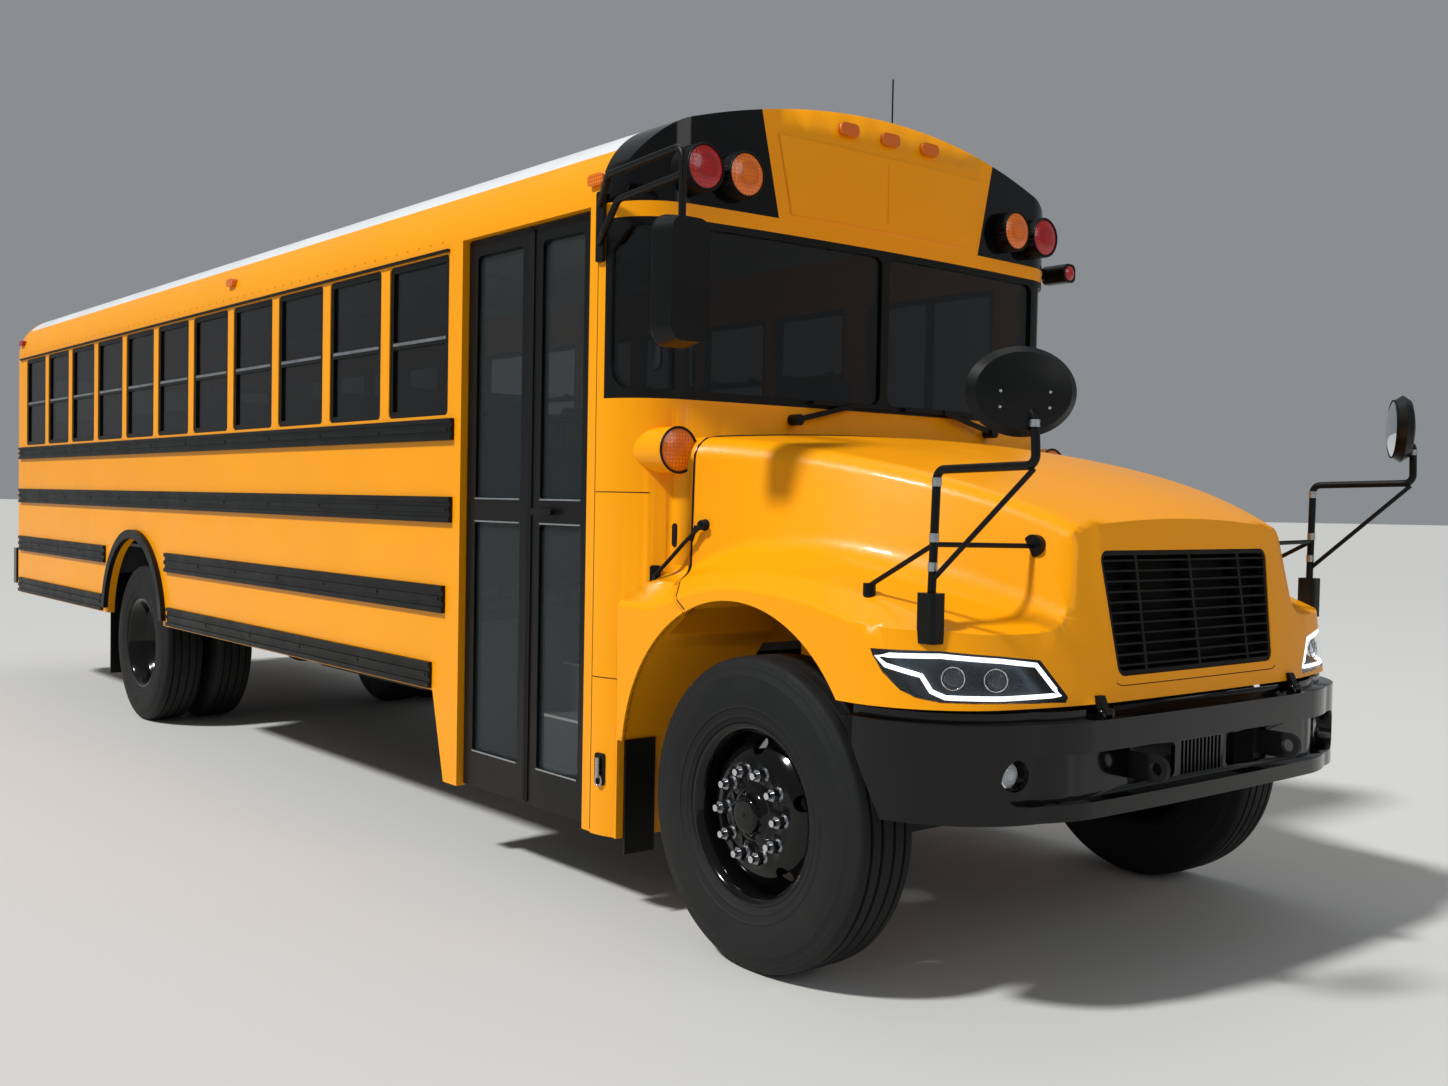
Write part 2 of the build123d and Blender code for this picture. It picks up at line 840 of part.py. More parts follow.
with BuildPart() as window_frames:
    for side in both():
        with BuildSketch(window_plane(side)):
            with Locations(*window_spots):
                RectangleRounded(window_width, window_height, window_corner)
                Rectangle(
                    window_width - 2 * frame_band,
                    window_height - 2 * frame_band,
                    mode=Mode.SUBTRACT,
                )
            with Locations(*[(spot[0], meeting_rail_z) for spot in window_spots]):
                Rectangle(window_width - 2 * frame_band, meeting_rail)
            if side > 0:
                with Locations(driver_window_mid):
                    RectangleRounded(*driver_window_size, window_corner)
                    Rectangle(
                        driver_window_size[0] - 2 * frame_band,
                        driver_window_size[1] - 2 * frame_band,
                        mode=Mode.SUBTRACT,
                    )
                    Rectangle(meeting_rail, driver_window_size[1] - 2 * frame_band)
        extrude(amount=side * frame_depth)
    with BuildSketch(Plane.YZ.offset(body_rear_x + frame_set)):
        with Locations(*[(side * rear_window_y, rear_window_mid_z) for side in both()]):
            RectangleRounded(
                rear_window_width,
                rear_window_high_z - rear_window_low_z,
                window_corner,
            )
            Rectangle(
                rear_window_width - 2 * frame_band,
                rear_window_high_z - rear_window_low_z - 2 * frame_band,
                mode=Mode.SUBTRACT,
            )
    extrude(amount=frame_depth)

upper_pane_z = (window_head_z - frame_band + meeting_rail_z + meeting_rail / 2) / 2
upper_pane_height = window_head_z - frame_band - meeting_rail_z - meeting_rail / 2
lower_pane_z = (window_sill_z + frame_band + meeting_rail_z - meeting_rail / 2) / 2
lower_pane_height = meeting_rail_z - meeting_rail / 2 - window_sill_z - frame_band
driver_pane_width = (driver_window_size[0] - 2 * frame_band - meeting_rail) / 2
driver_pane_shift = (driver_pane_width + meeting_rail) / 2
pane_depth = (frame_depth - glass) / 2
with BuildPart() as window_glass:
    for side in both():
        with BuildSketch(Plane.XZ.offset(-side * (body_half - frame_set - pane_depth))):
            with Locations(*[(spot[0], upper_pane_z) for spot in window_spots]):
                Rectangle(window_width - 2 * frame_band, upper_pane_height)
            with Locations(*[(spot[0], lower_pane_z) for spot in window_spots]):
                Rectangle(window_width - 2 * frame_band, lower_pane_height)
            if side > 0:
                with Locations(driver_window_mid):
                    with GridLocations(2 * driver_pane_shift, 1, 2, 1):
                        Rectangle(driver_pane_width, driver_window_size[1] - 2 * frame_band)
        extrude(amount=side * glass)
    with BuildSketch(Plane.YZ.offset(body_rear_x + frame_set + pane_depth)):
        with Locations(*[(side * rear_window_y, rear_window_mid_z) for side in both()]):
            Rectangle(
                rear_window_width - 2 * frame_band,
                rear_window_high_z - rear_window_low_z - 2 * frame_band,
            )
    extrude(amount=glass)

# Floor, with the steps inside the entrance and the rear wheel boxes
step_out_y = 1100.0
step_going = 195.0
step_heights = (400.0, 605.0, 808.0)
step_plate = 30.0
step_skirt = 25.0
well_front_x = door_front_x + step_skirt
well_rear_x = door_rear_x - step_skirt
well_in_y = step_out_y - len(step_heights) * step_going
wheel_box_y = 535.0
wheel_box_top_z = 1190.0
wheel_box_half = 620.0
wheel_box_plate = 20.0
box_rear_x = rear_arch_x - wheel_box_half
box_front_x = rear_arch_x + wheel_box_half
inner_half = body_half - wall
aisle_rear_x = body_rear_x + 118.0
aisle_front_x = 2000.0
aisle_half = 250.0
aisle_thickness = 4.0
deck_panels = (
    dict(rear=body_rear_x + wall, front=wall_rear_x, right=-inner_half, left=inner_half),
    dict(rear=wall_rear_x, front=box_rear_x, right=-inner_half, left=inner_half),
    dict(rear=box_rear_x, front=box_front_x, right=-wheel_box_y, left=wheel_box_y),
    dict(rear=box_front_x, front=well_rear_x, right=-inner_half, left=inner_half),
    dict(rear=well_rear_x, front=well_front_x, right=-well_in_y, left=inner_half),
    dict(rear=well_front_x, front=plan_front_x, right=-inner_half, left=inner_half),
)
with BuildPart() as floor_deck:
    extrude(plan_fill(wall, body_rear_x + wall, floor_z), amount=floor_thickness)
    with BuildPart(mode=Mode.INTERSECT):
        for panel in deck_panels:
            add(
                slab(
                    (panel["rear"] + touch_gap, panel["front"]),
                    (panel["right"], panel["left"]),
                    (floor_z, floor_top_z),
                )
            )
    add(
        slab(
            (aisle_rear_x, aisle_front_x),
            (-aisle_half, aisle_half),
            (floor_top_z + touch_gap, floor_top_z + aisle_thickness),
        )
    )
    tread_span = (well_rear_x + step_skirt + touch_gap, well_front_x - step_skirt - touch_gap)
    risers = (*step_heights[1:], floor_z + step_plate)
    for index, height in enumerate(step_heights):
        tread_y = -step_out_y + index * step_going
        riser_y = tread_y + step_going
        add(slab(tread_span, (tread_y, riser_y), (height - step_plate, height)))
        add(
            slab(
                tread_span,
                (riser_y + touch_gap, riser_y + step_plate),
                (height - step_plate, risers[index] - step_plate - touch_gap),
            )
        )
    for skirt_x in (well_rear_x + touch_gap, well_front_x - step_skirt):
        with BuildSketch(Plane.YZ.offset(skirt_x)):
            with BuildLine():
                Polyline(
                    (-inner_half, step_heights[0] - step_plate),
                    (-inner_half, floor_top_z),
                    (-well_in_y - touch_gap, floor_top_z),
                    (-well_in_y - touch_gap, step_heights[-1] - step_plate),
                    (-step_out_y + step_going, step_heights[0] - step_plate),
                    close=True,
                )
            make_face()
        extrude(amount=step_skirt - touch_gap)
    for side in both():
        near = side * (wheel_box_y + touch_gap)
        far = side * inner_half
        across = (min(near, far), max(near, far))
        wall_y = side * (wheel_box_y + wheel_box_plate)
        wall_top_z = wheel_box_top_z - wheel_box_plate - touch_gap
        inside = (box_rear_x + wheel_box_plate + touch_gap, box_front_x - wheel_box_plate - touch_gap)
        add(slab((box_rear_x, box_front_x), across, (wall_top_z + touch_gap, wheel_box_top_z)))
        for wall_x in (box_rear_x + touch_gap, box_front_x - wheel_box_plate):
            wall_span = (wall_x, wall_x + wheel_box_plate - touch_gap)
            add(slab(wall_span, across, (floor_z, wall_top_z)))
        add(slab(inside, (min(near, wall_y), max(near, wall_y)), (floor_z, wall_top_z)))
save(floor_deck.part, "floor_deck")

# Entrance door: two leaves that swing out about posts near the jambs
pivot_inset = 55.0
jamb_gap = 8.0
leaf_split_x = front_axle_x - 1397.0
leaf_low_z = door_low_z + 8.0
leaf_top_z = door_head_z - jamb_gap
leaf_outer_y = body_half - leaf_inset
leaf_mid_y = leaf_outer_y - leaf_thickness / 2
leaf_pin_radius = 11.0
leaf_spans = (
    dict(
        name="front",
        low_x=leaf_split_x + leaf_gap / 2,
        high_x=door_front_x - jamb_gap,
        pivot_x=door_front_x - pivot_inset,
    ),
    dict(
        name="rear",
        low_x=door_rear_x + jamb_gap,
        high_x=leaf_split_x - leaf_gap / 2,
        pivot_x=door_rear_x + pivot_inset,
    ),
)
leaf_pane = 8.0
handle_radius = 11.0
for span in leaf_spans:
    width = span["high_x"] - span["low_x"]
    middle_x = (span["high_x"] + span["low_x"]) / 2
    upper_low_z = leaf_mid_z + leaf_mid_rail / 2
    upper_high_z = leaf_top_z - leaf_rail
    lower_low_z = leaf_low_z + leaf_low_rail
    lower_high_z = leaf_mid_z - leaf_mid_rail / 2
    spans_z = ((upper_low_z, upper_high_z), (lower_low_z, lower_high_z))
    with BuildPart() as leaf:
        with BuildSketch(Plane.XZ.offset(leaf_outer_y)):
            with Locations((middle_x, (leaf_low_z + leaf_top_z) / 2)):
                Rectangle(width, leaf_top_z - leaf_low_z)
            for low, high in spans_z:
                with Locations((middle_x, (low + high) / 2)):
                    RectangleRounded(width - 2 * leaf_stile, high - low, 22, mode=Mode.SUBTRACT)
        extrude(amount=-leaf_thickness)
        with BuildSketch(Plane.XY.offset(leaf_top_z - 10)):
            with Locations((span["pivot_x"], -leaf_mid_y)):
                Circle(leaf_pin_radius)
        extrude(amount=10 + jamb_gap - touch_gap)
        if span["name"] == "front":
            handle_x = span["low_x"] + 120
            with BuildSketch(Plane.XZ.offset(leaf_outer_y - 1)):
                with Locations((handle_x - 40, leaf_mid_z), (handle_x + 40, leaf_mid_z)):
                    Circle(handle_radius)
            extrude(amount=22)
            with BuildSketch(Plane.XZ.offset(leaf_outer_y + 16)):
                with Locations((handle_x, leaf_mid_z)):
                    SlotOverall(150, 2 * handle_radius + 4)
            extrude(amount=12)
    save(leaf.part, "door_leaf_" + span["name"])
    with BuildPart() as panes:
        with BuildSketch(Plane.XZ.offset(leaf_mid_y + leaf_pane / 2)):
            for low, high in spans_z:
                with Locations((middle_x, (low + high) / 2)):
                    RectangleRounded(width - 2 * leaf_stile, high - low, 22)
        extrude(amount=-leaf_pane)
    save(panes.part, "door_glass_" + span["name"])

# Rear emergency door, laid over its doorway and hinged on the right
exit_pane_low_z = 1905.0
exit_pane_high_z = 2440.0
exit_pane_half = 305.0
exit_lower_pane_low_z = 1300.0
exit_lower_pane_high_z = 1760.0
exit_panes = (
    (exit_pane_low_z, exit_pane_high_z),
    (exit_lower_pane_low_z, exit_lower_pane_high_z),
)
with BuildPart() as rear_door:
    with BuildSketch(Plane.YZ.offset(exit_outer_x)):
        with Locations((0, (exit_low_z + exit_head_z) / 2)):
            RectangleRounded(
                2 * exit_door_half,
                exit_head_z - exit_low_z + 2 * exit_lap,
                30,
            )
        for low, high in exit_panes:
            with Locations((0, (low + high) / 2)):
                RectangleRounded(2 * exit_pane_half, high - low, 40, mode=Mode.SUBTRACT)
        notch = 2 * bracket_half + touch_gap + hinge_clear
        for height in exit_hinge_spots:
            for end in both():
                with Locations((exit_hinge_y, height + end * (hinge_half + notch / 2))):
                    Rectangle(2 * (barrel_radius + hinge_clear), notch, mode=Mode.SUBTRACT)
    extrude(amount=exit_slab)
    for height in exit_hinge_spots:
        with BuildSketch(Plane.XY.offset(height - hinge_half)):
            with Locations((exit_hinge_x, exit_hinge_y)):
                Circle(barrel_radius)
        extrude(amount=2 * hinge_half)
    with BuildSketch(Plane.YZ.offset(exit_outer_x + 1)):
        with Locations((exit_door_half - 60, 1830)):
            RectangleRounded(40, 130, 8)
    extrude(amount=-22)
    with BuildSketch(Plane.YZ.offset(exit_outer_x - 20)):
        with Locations((exit_door_half - 110, 1830)):
            SlotOverall(150, 24)
    extrude(amount=-16)
save(rear_door.part, "rear_door")

with BuildPart() as rear_door_glass:
    with BuildSketch(Plane.YZ.offset(exit_outer_x + (exit_slab - glass) / 2)):
        for low, high in exit_panes:
            with Locations((0, (low + high) / 2)):
                RectangleRounded(2 * exit_pane_half, high - low, 40)
    extrude(amount=glass)
save(rear_door_glass.part, "rear_door_glass")

# Rub rails, drip rails and the trim round the rear wheel arches
rail_stand = 20.0
rail_groove = 8.0


def rail_face(low, high, ribs, x_at, side):
    rib = (high - low) / (2 * ribs - 1)
    points = [(side * body_half, low)]
    for index in range(ribs):
        base = low + 2 * index * rib
        points.append((side * (body_half + rail_stand), base))
        points.append((side * (body_half + rail_stand), base + rib))
        if index < ribs - 1:
            points.append((side * (body_half + rail_stand - rail_groove), base + rib))
            points.append((side * (body_half + rail_stand - rail_groove), base + 2 * rib))
    points.append((side * body_half, high))
    with BuildSketch(Plane.YZ.offset(x_at)) as face:
        with BuildLine():
            Polyline(*points, close=True)
        make_face()
    return face.sketch


rub_rail_rows = (
    dict(low=1795, high=1890, rear=-9360, front=-1975),
    dict(low=1437, high=1550, rear=-9360, front=-1982),
    dict(low=1040, high=1160, rear=-9360, front=-6985),
    dict(low=1040, high=1160, rear=-5700, front=-2037),
    dict(low=700, high=815, rear=-9360, front=-7040),
    dict(low=700, high=815, rear=-5650, front=-2150),
)
drip_height = 12.0
drip_stand = 14.0
drip_z = 2612.0
left_trim_front_x = -2030.0
with BuildPart() as rub_rails:
    for side in both():
        for row in rub_rail_rows:
            extrude(
                rail_face(row["low"], row["high"], 3, front_axle_x + row["rear"], side),
                amount=row["front"] - row["rear"],
            )
        with BuildSketch(Plane.XY.offset(drip_z)):
            rear = wall_rear_x
            front = front_axle_x + left_trim_front_x
            with Locations(((rear + front) / 2, side * (body_half + drip_stand / 2))):
                Rectangle(front - rear, drip_stand)
        extrude(amount=drip_height)

trim_foot_z = 725.0
flap_top_z = floor_z
flap_low_z = 250.0
flap_thickness = 12.0
flap_x = rear_arch_x - 690.0
flap_out_y = inner_half - 6.0
flap_in_y = rear_spring_y + spring_width / 2 + 12
flap_mid_y = (flap_out_y + flap_in_y) / 2
flap_width = flap_out_y - flap_in_y
front_flap_in_y = 1032.0
front_flap_low_z = 236.0
front_flap_high_z = 660.0
with BuildPart() as arch_trims:
    for side in both():
        with BuildSketch(Plane.XZ.offset(-side * body_half)):
            with Locations((rear_arch_x, rear_arch_z)):
                Circle(rear_arch_radius + trim_width)
                Circle(rear_arch_radius, mode=Mode.SUBTRACT)
            with Locations((rear_arch_x, trim_foot_z - 500)):
                Rectangle(2000, 1000, mode=Mode.SUBTRACT)
        extrude(amount=-side * trim_stand)
        with BuildSketch(Plane.YZ.offset(flap_x)):
            with Locations((side * flap_mid_y, (flap_low_z + flap_top_z) / 2)):
                Rectangle(flap_width, flap_top_z - flap_low_z)
        extrude(amount=-flap_thickness)
        near, far = sorted((side * front_flap_in_y, side * flap_out_y))
        flap_span = (arch_rear_x + touch_gap, arch_rear_x + flap_thickness)
        add(slab(flap_span, (near, far), (front_flap_low_z, front_flap_high_z)))

# Front bumper, swept back to the wheels
bumper_low_z = 614.0
bumper_top_z = 910.0
bumper_skin = 60.0
bumper_half = 1196.0
bumper_tail = 300.0
bumper_turn = (480.0, bumper_half)
bumper_bend = (770.0, 1082.0)
bumper_corner = (905.0, 830.0)
bumper_ease = (938.0, 740.0)
bumper_face = (955.0, 640.0)
bumper_nose = 966.0
bumper_low_tail = 425.0
bumper_high_tail = 590.0


def bumper_fill(inset, low_z):
    with BuildSketch(Plane.XY.offset(low_z)) as fill:
        with BuildLine():
            ahead = front_axle_x - inset
            for side in both():
                tail = (front_axle_x + bumper_tail, side * (bumper_half - inset))
                turn = (ahead + bumper_turn[0], side * (bumper_turn[1] - inset))
                bend = (ahead + bumper_bend[0], side * (bumper_bend[1] - inset / 2))
                corner = (ahead + bumper_corner[0], side * (bumper_corner[1] - inset / 4))
                ease = (ahead + bumper_ease[0], side * bumper_ease[1])
                face = (ahead + bumper_face[0], side * bumper_face[1])
                Line(tail, turn)
                ThreePointArc(turn, bend, corner)
                ThreePointArc(corner, ease, face)
            left = (ahead + bumper_face[0], bumper_face[1])
            right = (ahead + bumper_face[0], -bumper_face[1])
            if inset > 0:
                Line(right, left)
            else:
                ThreePointArc(right, (ahead + bumper_nose, 0), left)
            Line(
                (front_axle_x + bumper_tail, inset - bumper_half),
                (front_axle_x + bumper_tail, bumper_half - inset),
            )
        make_face()
    return fill.sketch


bumper_back_x = front_axle_x + bumper_face[0] - bumper_skin
tow_y = rail_y - rail_width / 2
tow_z = 746.0
tow_opening_y = 282.0
tow_opening_width = 262.0
tow_opening_height = 112.0
channel_z = 740.0
channel_height = 150.0
channel_half = 962.0
channel_depth = 44.0
mesh_pitch = 22.0
mesh_slots = 11
mesh_slot = 14.0
fog_z = 751.0
fog_y = 881.0
fog_radius = 48.0
fog_rear_x = front_axle_x + 770.0
fog_reach = 50.0
flange_top_z = 938.0
flange_inset = 46.0
flange_plate = 12.0
flange_gap = 70.0
with BuildPart() as bumper_channel:
    extrude(bumper_fill(-2, channel_z - channel_height / 2), amount=channel_height)
    extrude(
        bumper_fill(channel_depth, channel_z - channel_height / 2 - 1),
        amount=channel_height + 2,
        mode=Mode.SUBTRACT,
    )
    with BuildSketch(Plane.YZ.offset(front_axle_x + 500)):
        with Locations((0, channel_z)):
            RectangleRounded(2 * channel_half, channel_height, channel_height / 2 - 1)
    extrude(amount=600, mode=Mode.INTERSECT)

with BuildPart() as bumper_front:
    extrude(bumper_fill(0, bumper_low_z), amount=bumper_top_z - bumper_low_z)
    extrude(
        bumper_fill(bumper_skin, bumper_low_z - 1),
        amount=bumper_top_z - bumper_low_z + 2,
        mode=Mode.SUBTRACT,
    )
    with BuildSketch(Plane.XY.offset(bumper_top_z - 2)):
        add(bumper_fill(flange_inset, bumper_top_z - 2))
        add(bumper_fill(flange_inset + flange_plate, bumper_top_z - 2), mode=Mode.SUBTRACT)
        with Locations(*[(hood_hinge_x - 20, side * hood_hinge_y) for side in both()]):
            Rectangle(160, 2 * flange_gap, mode=Mode.SUBTRACT)
    extrude(amount=flange_top_z - bumper_top_z + 2)
    with BuildSketch(Plane.XZ.offset(-1300)):
        with BuildLine():
            Polyline(
                (front_axle_x + bumper_tail - 50, bumper_low_z - 10),
                (front_axle_x + bumper_tail - 50, flange_top_z + 10),
                (front_axle_x + bumper_low_tail, flange_top_z + 10),
                (front_axle_x + bumper_low_tail, bumper_top_z),
                (front_axle_x + bumper_high_tail, bumper_low_z - 10),
                close=True,
            )
        make_face()
    extrude(amount=2600, mode=Mode.SUBTRACT)
    add(bumper_channel.part, mode=Mode.SUBTRACT)
    with BuildSketch(Plane.YZ.offset(front_axle_x + 700)):
        with Locations(*[(side * tow_opening_y, channel_z) for side in both()]):
            RectangleRounded(tow_opening_width, tow_opening_height, 20)
        with Locations((0, channel_z)):
            with GridLocations(mesh_pitch, 1, mesh_slots, 1):
                Rectangle(mesh_slot, tow_opening_height)
        with Locations(*[(side * fog_y, fog_z) for side in both()]):
            Circle(fog_radius + touch_gap)
    extrude(amount=400, mode=Mode.SUBTRACT)
    for side in both():
        for low_y in (-hinge_ear_half - touch_gap - hinge_lug, hinge_ear_half + touch_gap):
            with BuildSketch(Plane.XZ.offset(-(side * hood_hinge_y + low_y))):
                with Locations((hood_hinge_x, hood_hinge_z)):
                    Circle(hinge_ear_radius - 2)
                with Locations((hood_hinge_x, (bumper_top_z + hood_hinge_z) / 2 - 2)):
                    Rectangle(2 * hinge_ear_radius - 4, hood_hinge_z - bumper_top_z + 4)
            extrude(amount=-hinge_lug)
        with BuildSketch(Plane.XZ.offset(-(side * hood_hinge_y - hinge_ear_half - hinge_lug / 2))):
            with Locations((hood_hinge_x, hood_hinge_z)):
                Circle(hinge_pin_radius)
        extrude(amount=-(2 * hinge_ear_half + hinge_lug))
save(bumper_front.part, "bumper_front")

# Rear bumper
rear_bumper_low_z = 757.0
rear_bumper_high_z = 1050.0
rear_bumper_depth = 120.0
rear_bumper_skin = 12.0
rear_bumper_half = 1224.0
rear_bumper_radius = 45.0
bracket_reach = rear_bumper_depth - rear_bumper_skin / 2
with BuildPart() as bumper_rear:
    with BuildSketch(Plane.XY.offset(rear_bumper_low_z)):
        with Locations((body_rear_x, 0)):
            RectangleRounded(2 * rear_bumper_depth, 2 * rear_bumper_half, rear_bumper_radius)
            RectangleRounded(
                2 * (rear_bumper_depth - rear_bumper_skin),
                2 * (rear_bumper_half - rear_bumper_skin),
                rear_bumper_radius - rear_bumper_skin,
                mode=Mode.SUBTRACT,
            )
        with Locations((body_rear_x + rear_bumper_depth / 2, 0)):
            Rectangle(rear_bumper_depth, 3 * rear_bumper_half, mode=Mode.SUBTRACT)
        for side in both():
            with Locations((body_rear_x - bracket_reach / 2, side * (rail_y - rail_width / 2))):
                Rectangle(bracket_reach, rail_width)
    extrude(amount=rear_bumper_high_z - rear_bumper_low_z)
save(bumper_rear.part, "bumper_rear")

# Frame rails and cross members
frame_rear_x = body_rear_x + wall
cross_spots = (-9300, -8300, -7250, -5500, -4300, -3000, -1700, 620)
cross_size = 90.0
cross_low_z = rail_top_z - rail_height + 40
outrigger_spots = (-9100, -8300, -7500, -5200, -4300, -3400, -2500)
outrigger_width = 60.0
outrigger_half = inner_half - 30
horn_low_z = rail_top_z - rail_height + 20
horn_height = rail_height - 60
tow_plate = 20.0
tow_eye_x = front_axle_x + 1004.0
tow_eye_radius = 22.0
tow_eye_outer = 42.0
with BuildPart() as frame_rails:
    for side in both():
        with BuildSketch(Plane.YZ.offset(frame_rear_x)):
            with Locations((side * (rail_y - rail_width / 2), rail_top_z - rail_height / 2)):
                Rectangle(rail_width, rail_height)
            with Locations((side * (rail_y - rail_width / 2 - rail_wall), rail_top_z - rail_height / 2)):
                Rectangle(rail_width, rail_height - 2 * rail_wall, mode=Mode.SUBTRACT)
        extrude(amount=rail_front_x - frame_rear_x)
    for spot in cross_spots:
        with BuildSketch(Plane.XY.offset(cross_low_z)):
            with Locations((front_axle_x + spot, 0)):
                Rectangle(cross_size, 2 * (rail_y - rail_wall - touch_gap))
        extrude(amount=cross_size)
    for spot in outrigger_spots:
        with BuildSketch(Plane.XY.offset(rail_top_z + touch_gap)):
            with Locations((front_axle_x + spot, 0)):
                Rectangle(outrigger_width, 2 * outrigger_half)
        extrude(amount=floor_z - rail_top_z - touch_gap)
    for side in both():
        with BuildSketch(Plane.XY.offset(horn_low_z)):
            with Locations(((rail_front_x + touch_gap + bumper_back_x) / 2, side * tow_y)):
                Rectangle(bumper_back_x - rail_front_x - touch_gap, rail_width)
        extrude(amount=horn_height)
        with BuildSketch(Plane.XZ.offset(-(side * tow_y - tow_plate / 2))):
            with Locations(((bumper_back_x + touch_gap + tow_eye_x) / 2, tow_z)):
                Rectangle(tow_eye_x - bumper_back_x - touch_gap, 2 * tow_eye_outer)
            with Locations((tow_eye_x, tow_z)):
                Circle(tow_eye_outer)
                Circle(tow_eye_radius, mode=Mode.SUBTRACT)
        extrude(amount=-tow_plate)
save(frame_rails.part, "frame_rails")

# Wheels and tyres
tyre_seat = 105.7
flange_half = 118.0
hub_flange_radius = 108.0
hub_cap_radius = 66.0
drum_radius = 210.0
drum_back = 75.0
disc_face = 96.0
disc_plate = 13.0
nut_across = 33.0
nut_height = 26.0
stud_radius = 11.0
stud_reach = 44.0
hand_hole_radius = 27.0
hand_hole_circle = 222.0


def axle_plane(axle_x, centre_y):
    return Plane(origin=(axle_x, centre_y, wheel_z), x_dir=(1, 0, 0), z_dir=(0, 0, 1))


def wheel_axis(axle_x):
    return Axis((axle_x, 0, wheel_z), (0, 1, 0))


def tyre_solid(axle_x, centre_y):
    seat = rim_radius + touch_gap
    with BuildPart() as ring:
        with BuildSketch(axle_plane(axle_x, centre_y)):
            with BuildLine():
                for side in both():
                    Line((seat, side * tyre_seat), (flange_radius + 2, side * tyre_seat))
                    Line((flange_radius + 2, side * tyre_seat), (flange_radius + 9, side * 121))
                    ThreePointArc(
                        (flange_radius + 9, side * 121),
                        (400, side * tyre_half),
                        (tyre_radius - 27, side * 131),
                    )
                    ThreePointArc(
                        (tyre_radius - 27, side * 131),
                        (tyre_radius - 7, side * 121),
                        (tyre_radius, side * 104),
                    )
                Line((tyre_radius, -104), (tyre_radius, 104))
                Line((seat, -tyre_seat), (seat, tyre_seat))
            make_face()
        revolve(axis=wheel_axis(axle_x))
    return ring.part


def rim_barrel(axle_x, centre_y):
    inner = rim_radius - rim_wall
    with BuildPart() as barrel:
        with BuildSketch(axle_plane(axle_x, centre_y)):
            with BuildLine():
                Polyline(
                    (inner, -flange_half + 8),
                    (flange_radius - 9, -flange_half),
                    (flange_radius, -flange_half),
                    (flange_radius, 0.2 - tyre_seat - 0.5),
                    (rim_radius, 0.2 - tyre_seat - 0.5),
                    (rim_radius, tyre_seat + 0.3),
                    (flange_radius, tyre_seat + 0.3),
                    (flange_radius, flange_half),
                    (flange_radius - 9, flange_half),
                    (inner, flange_half - 8),
                    close=True,
                )
            make_face()
        revolve(axis=wheel_axis(axle_x))
    return barrel.part


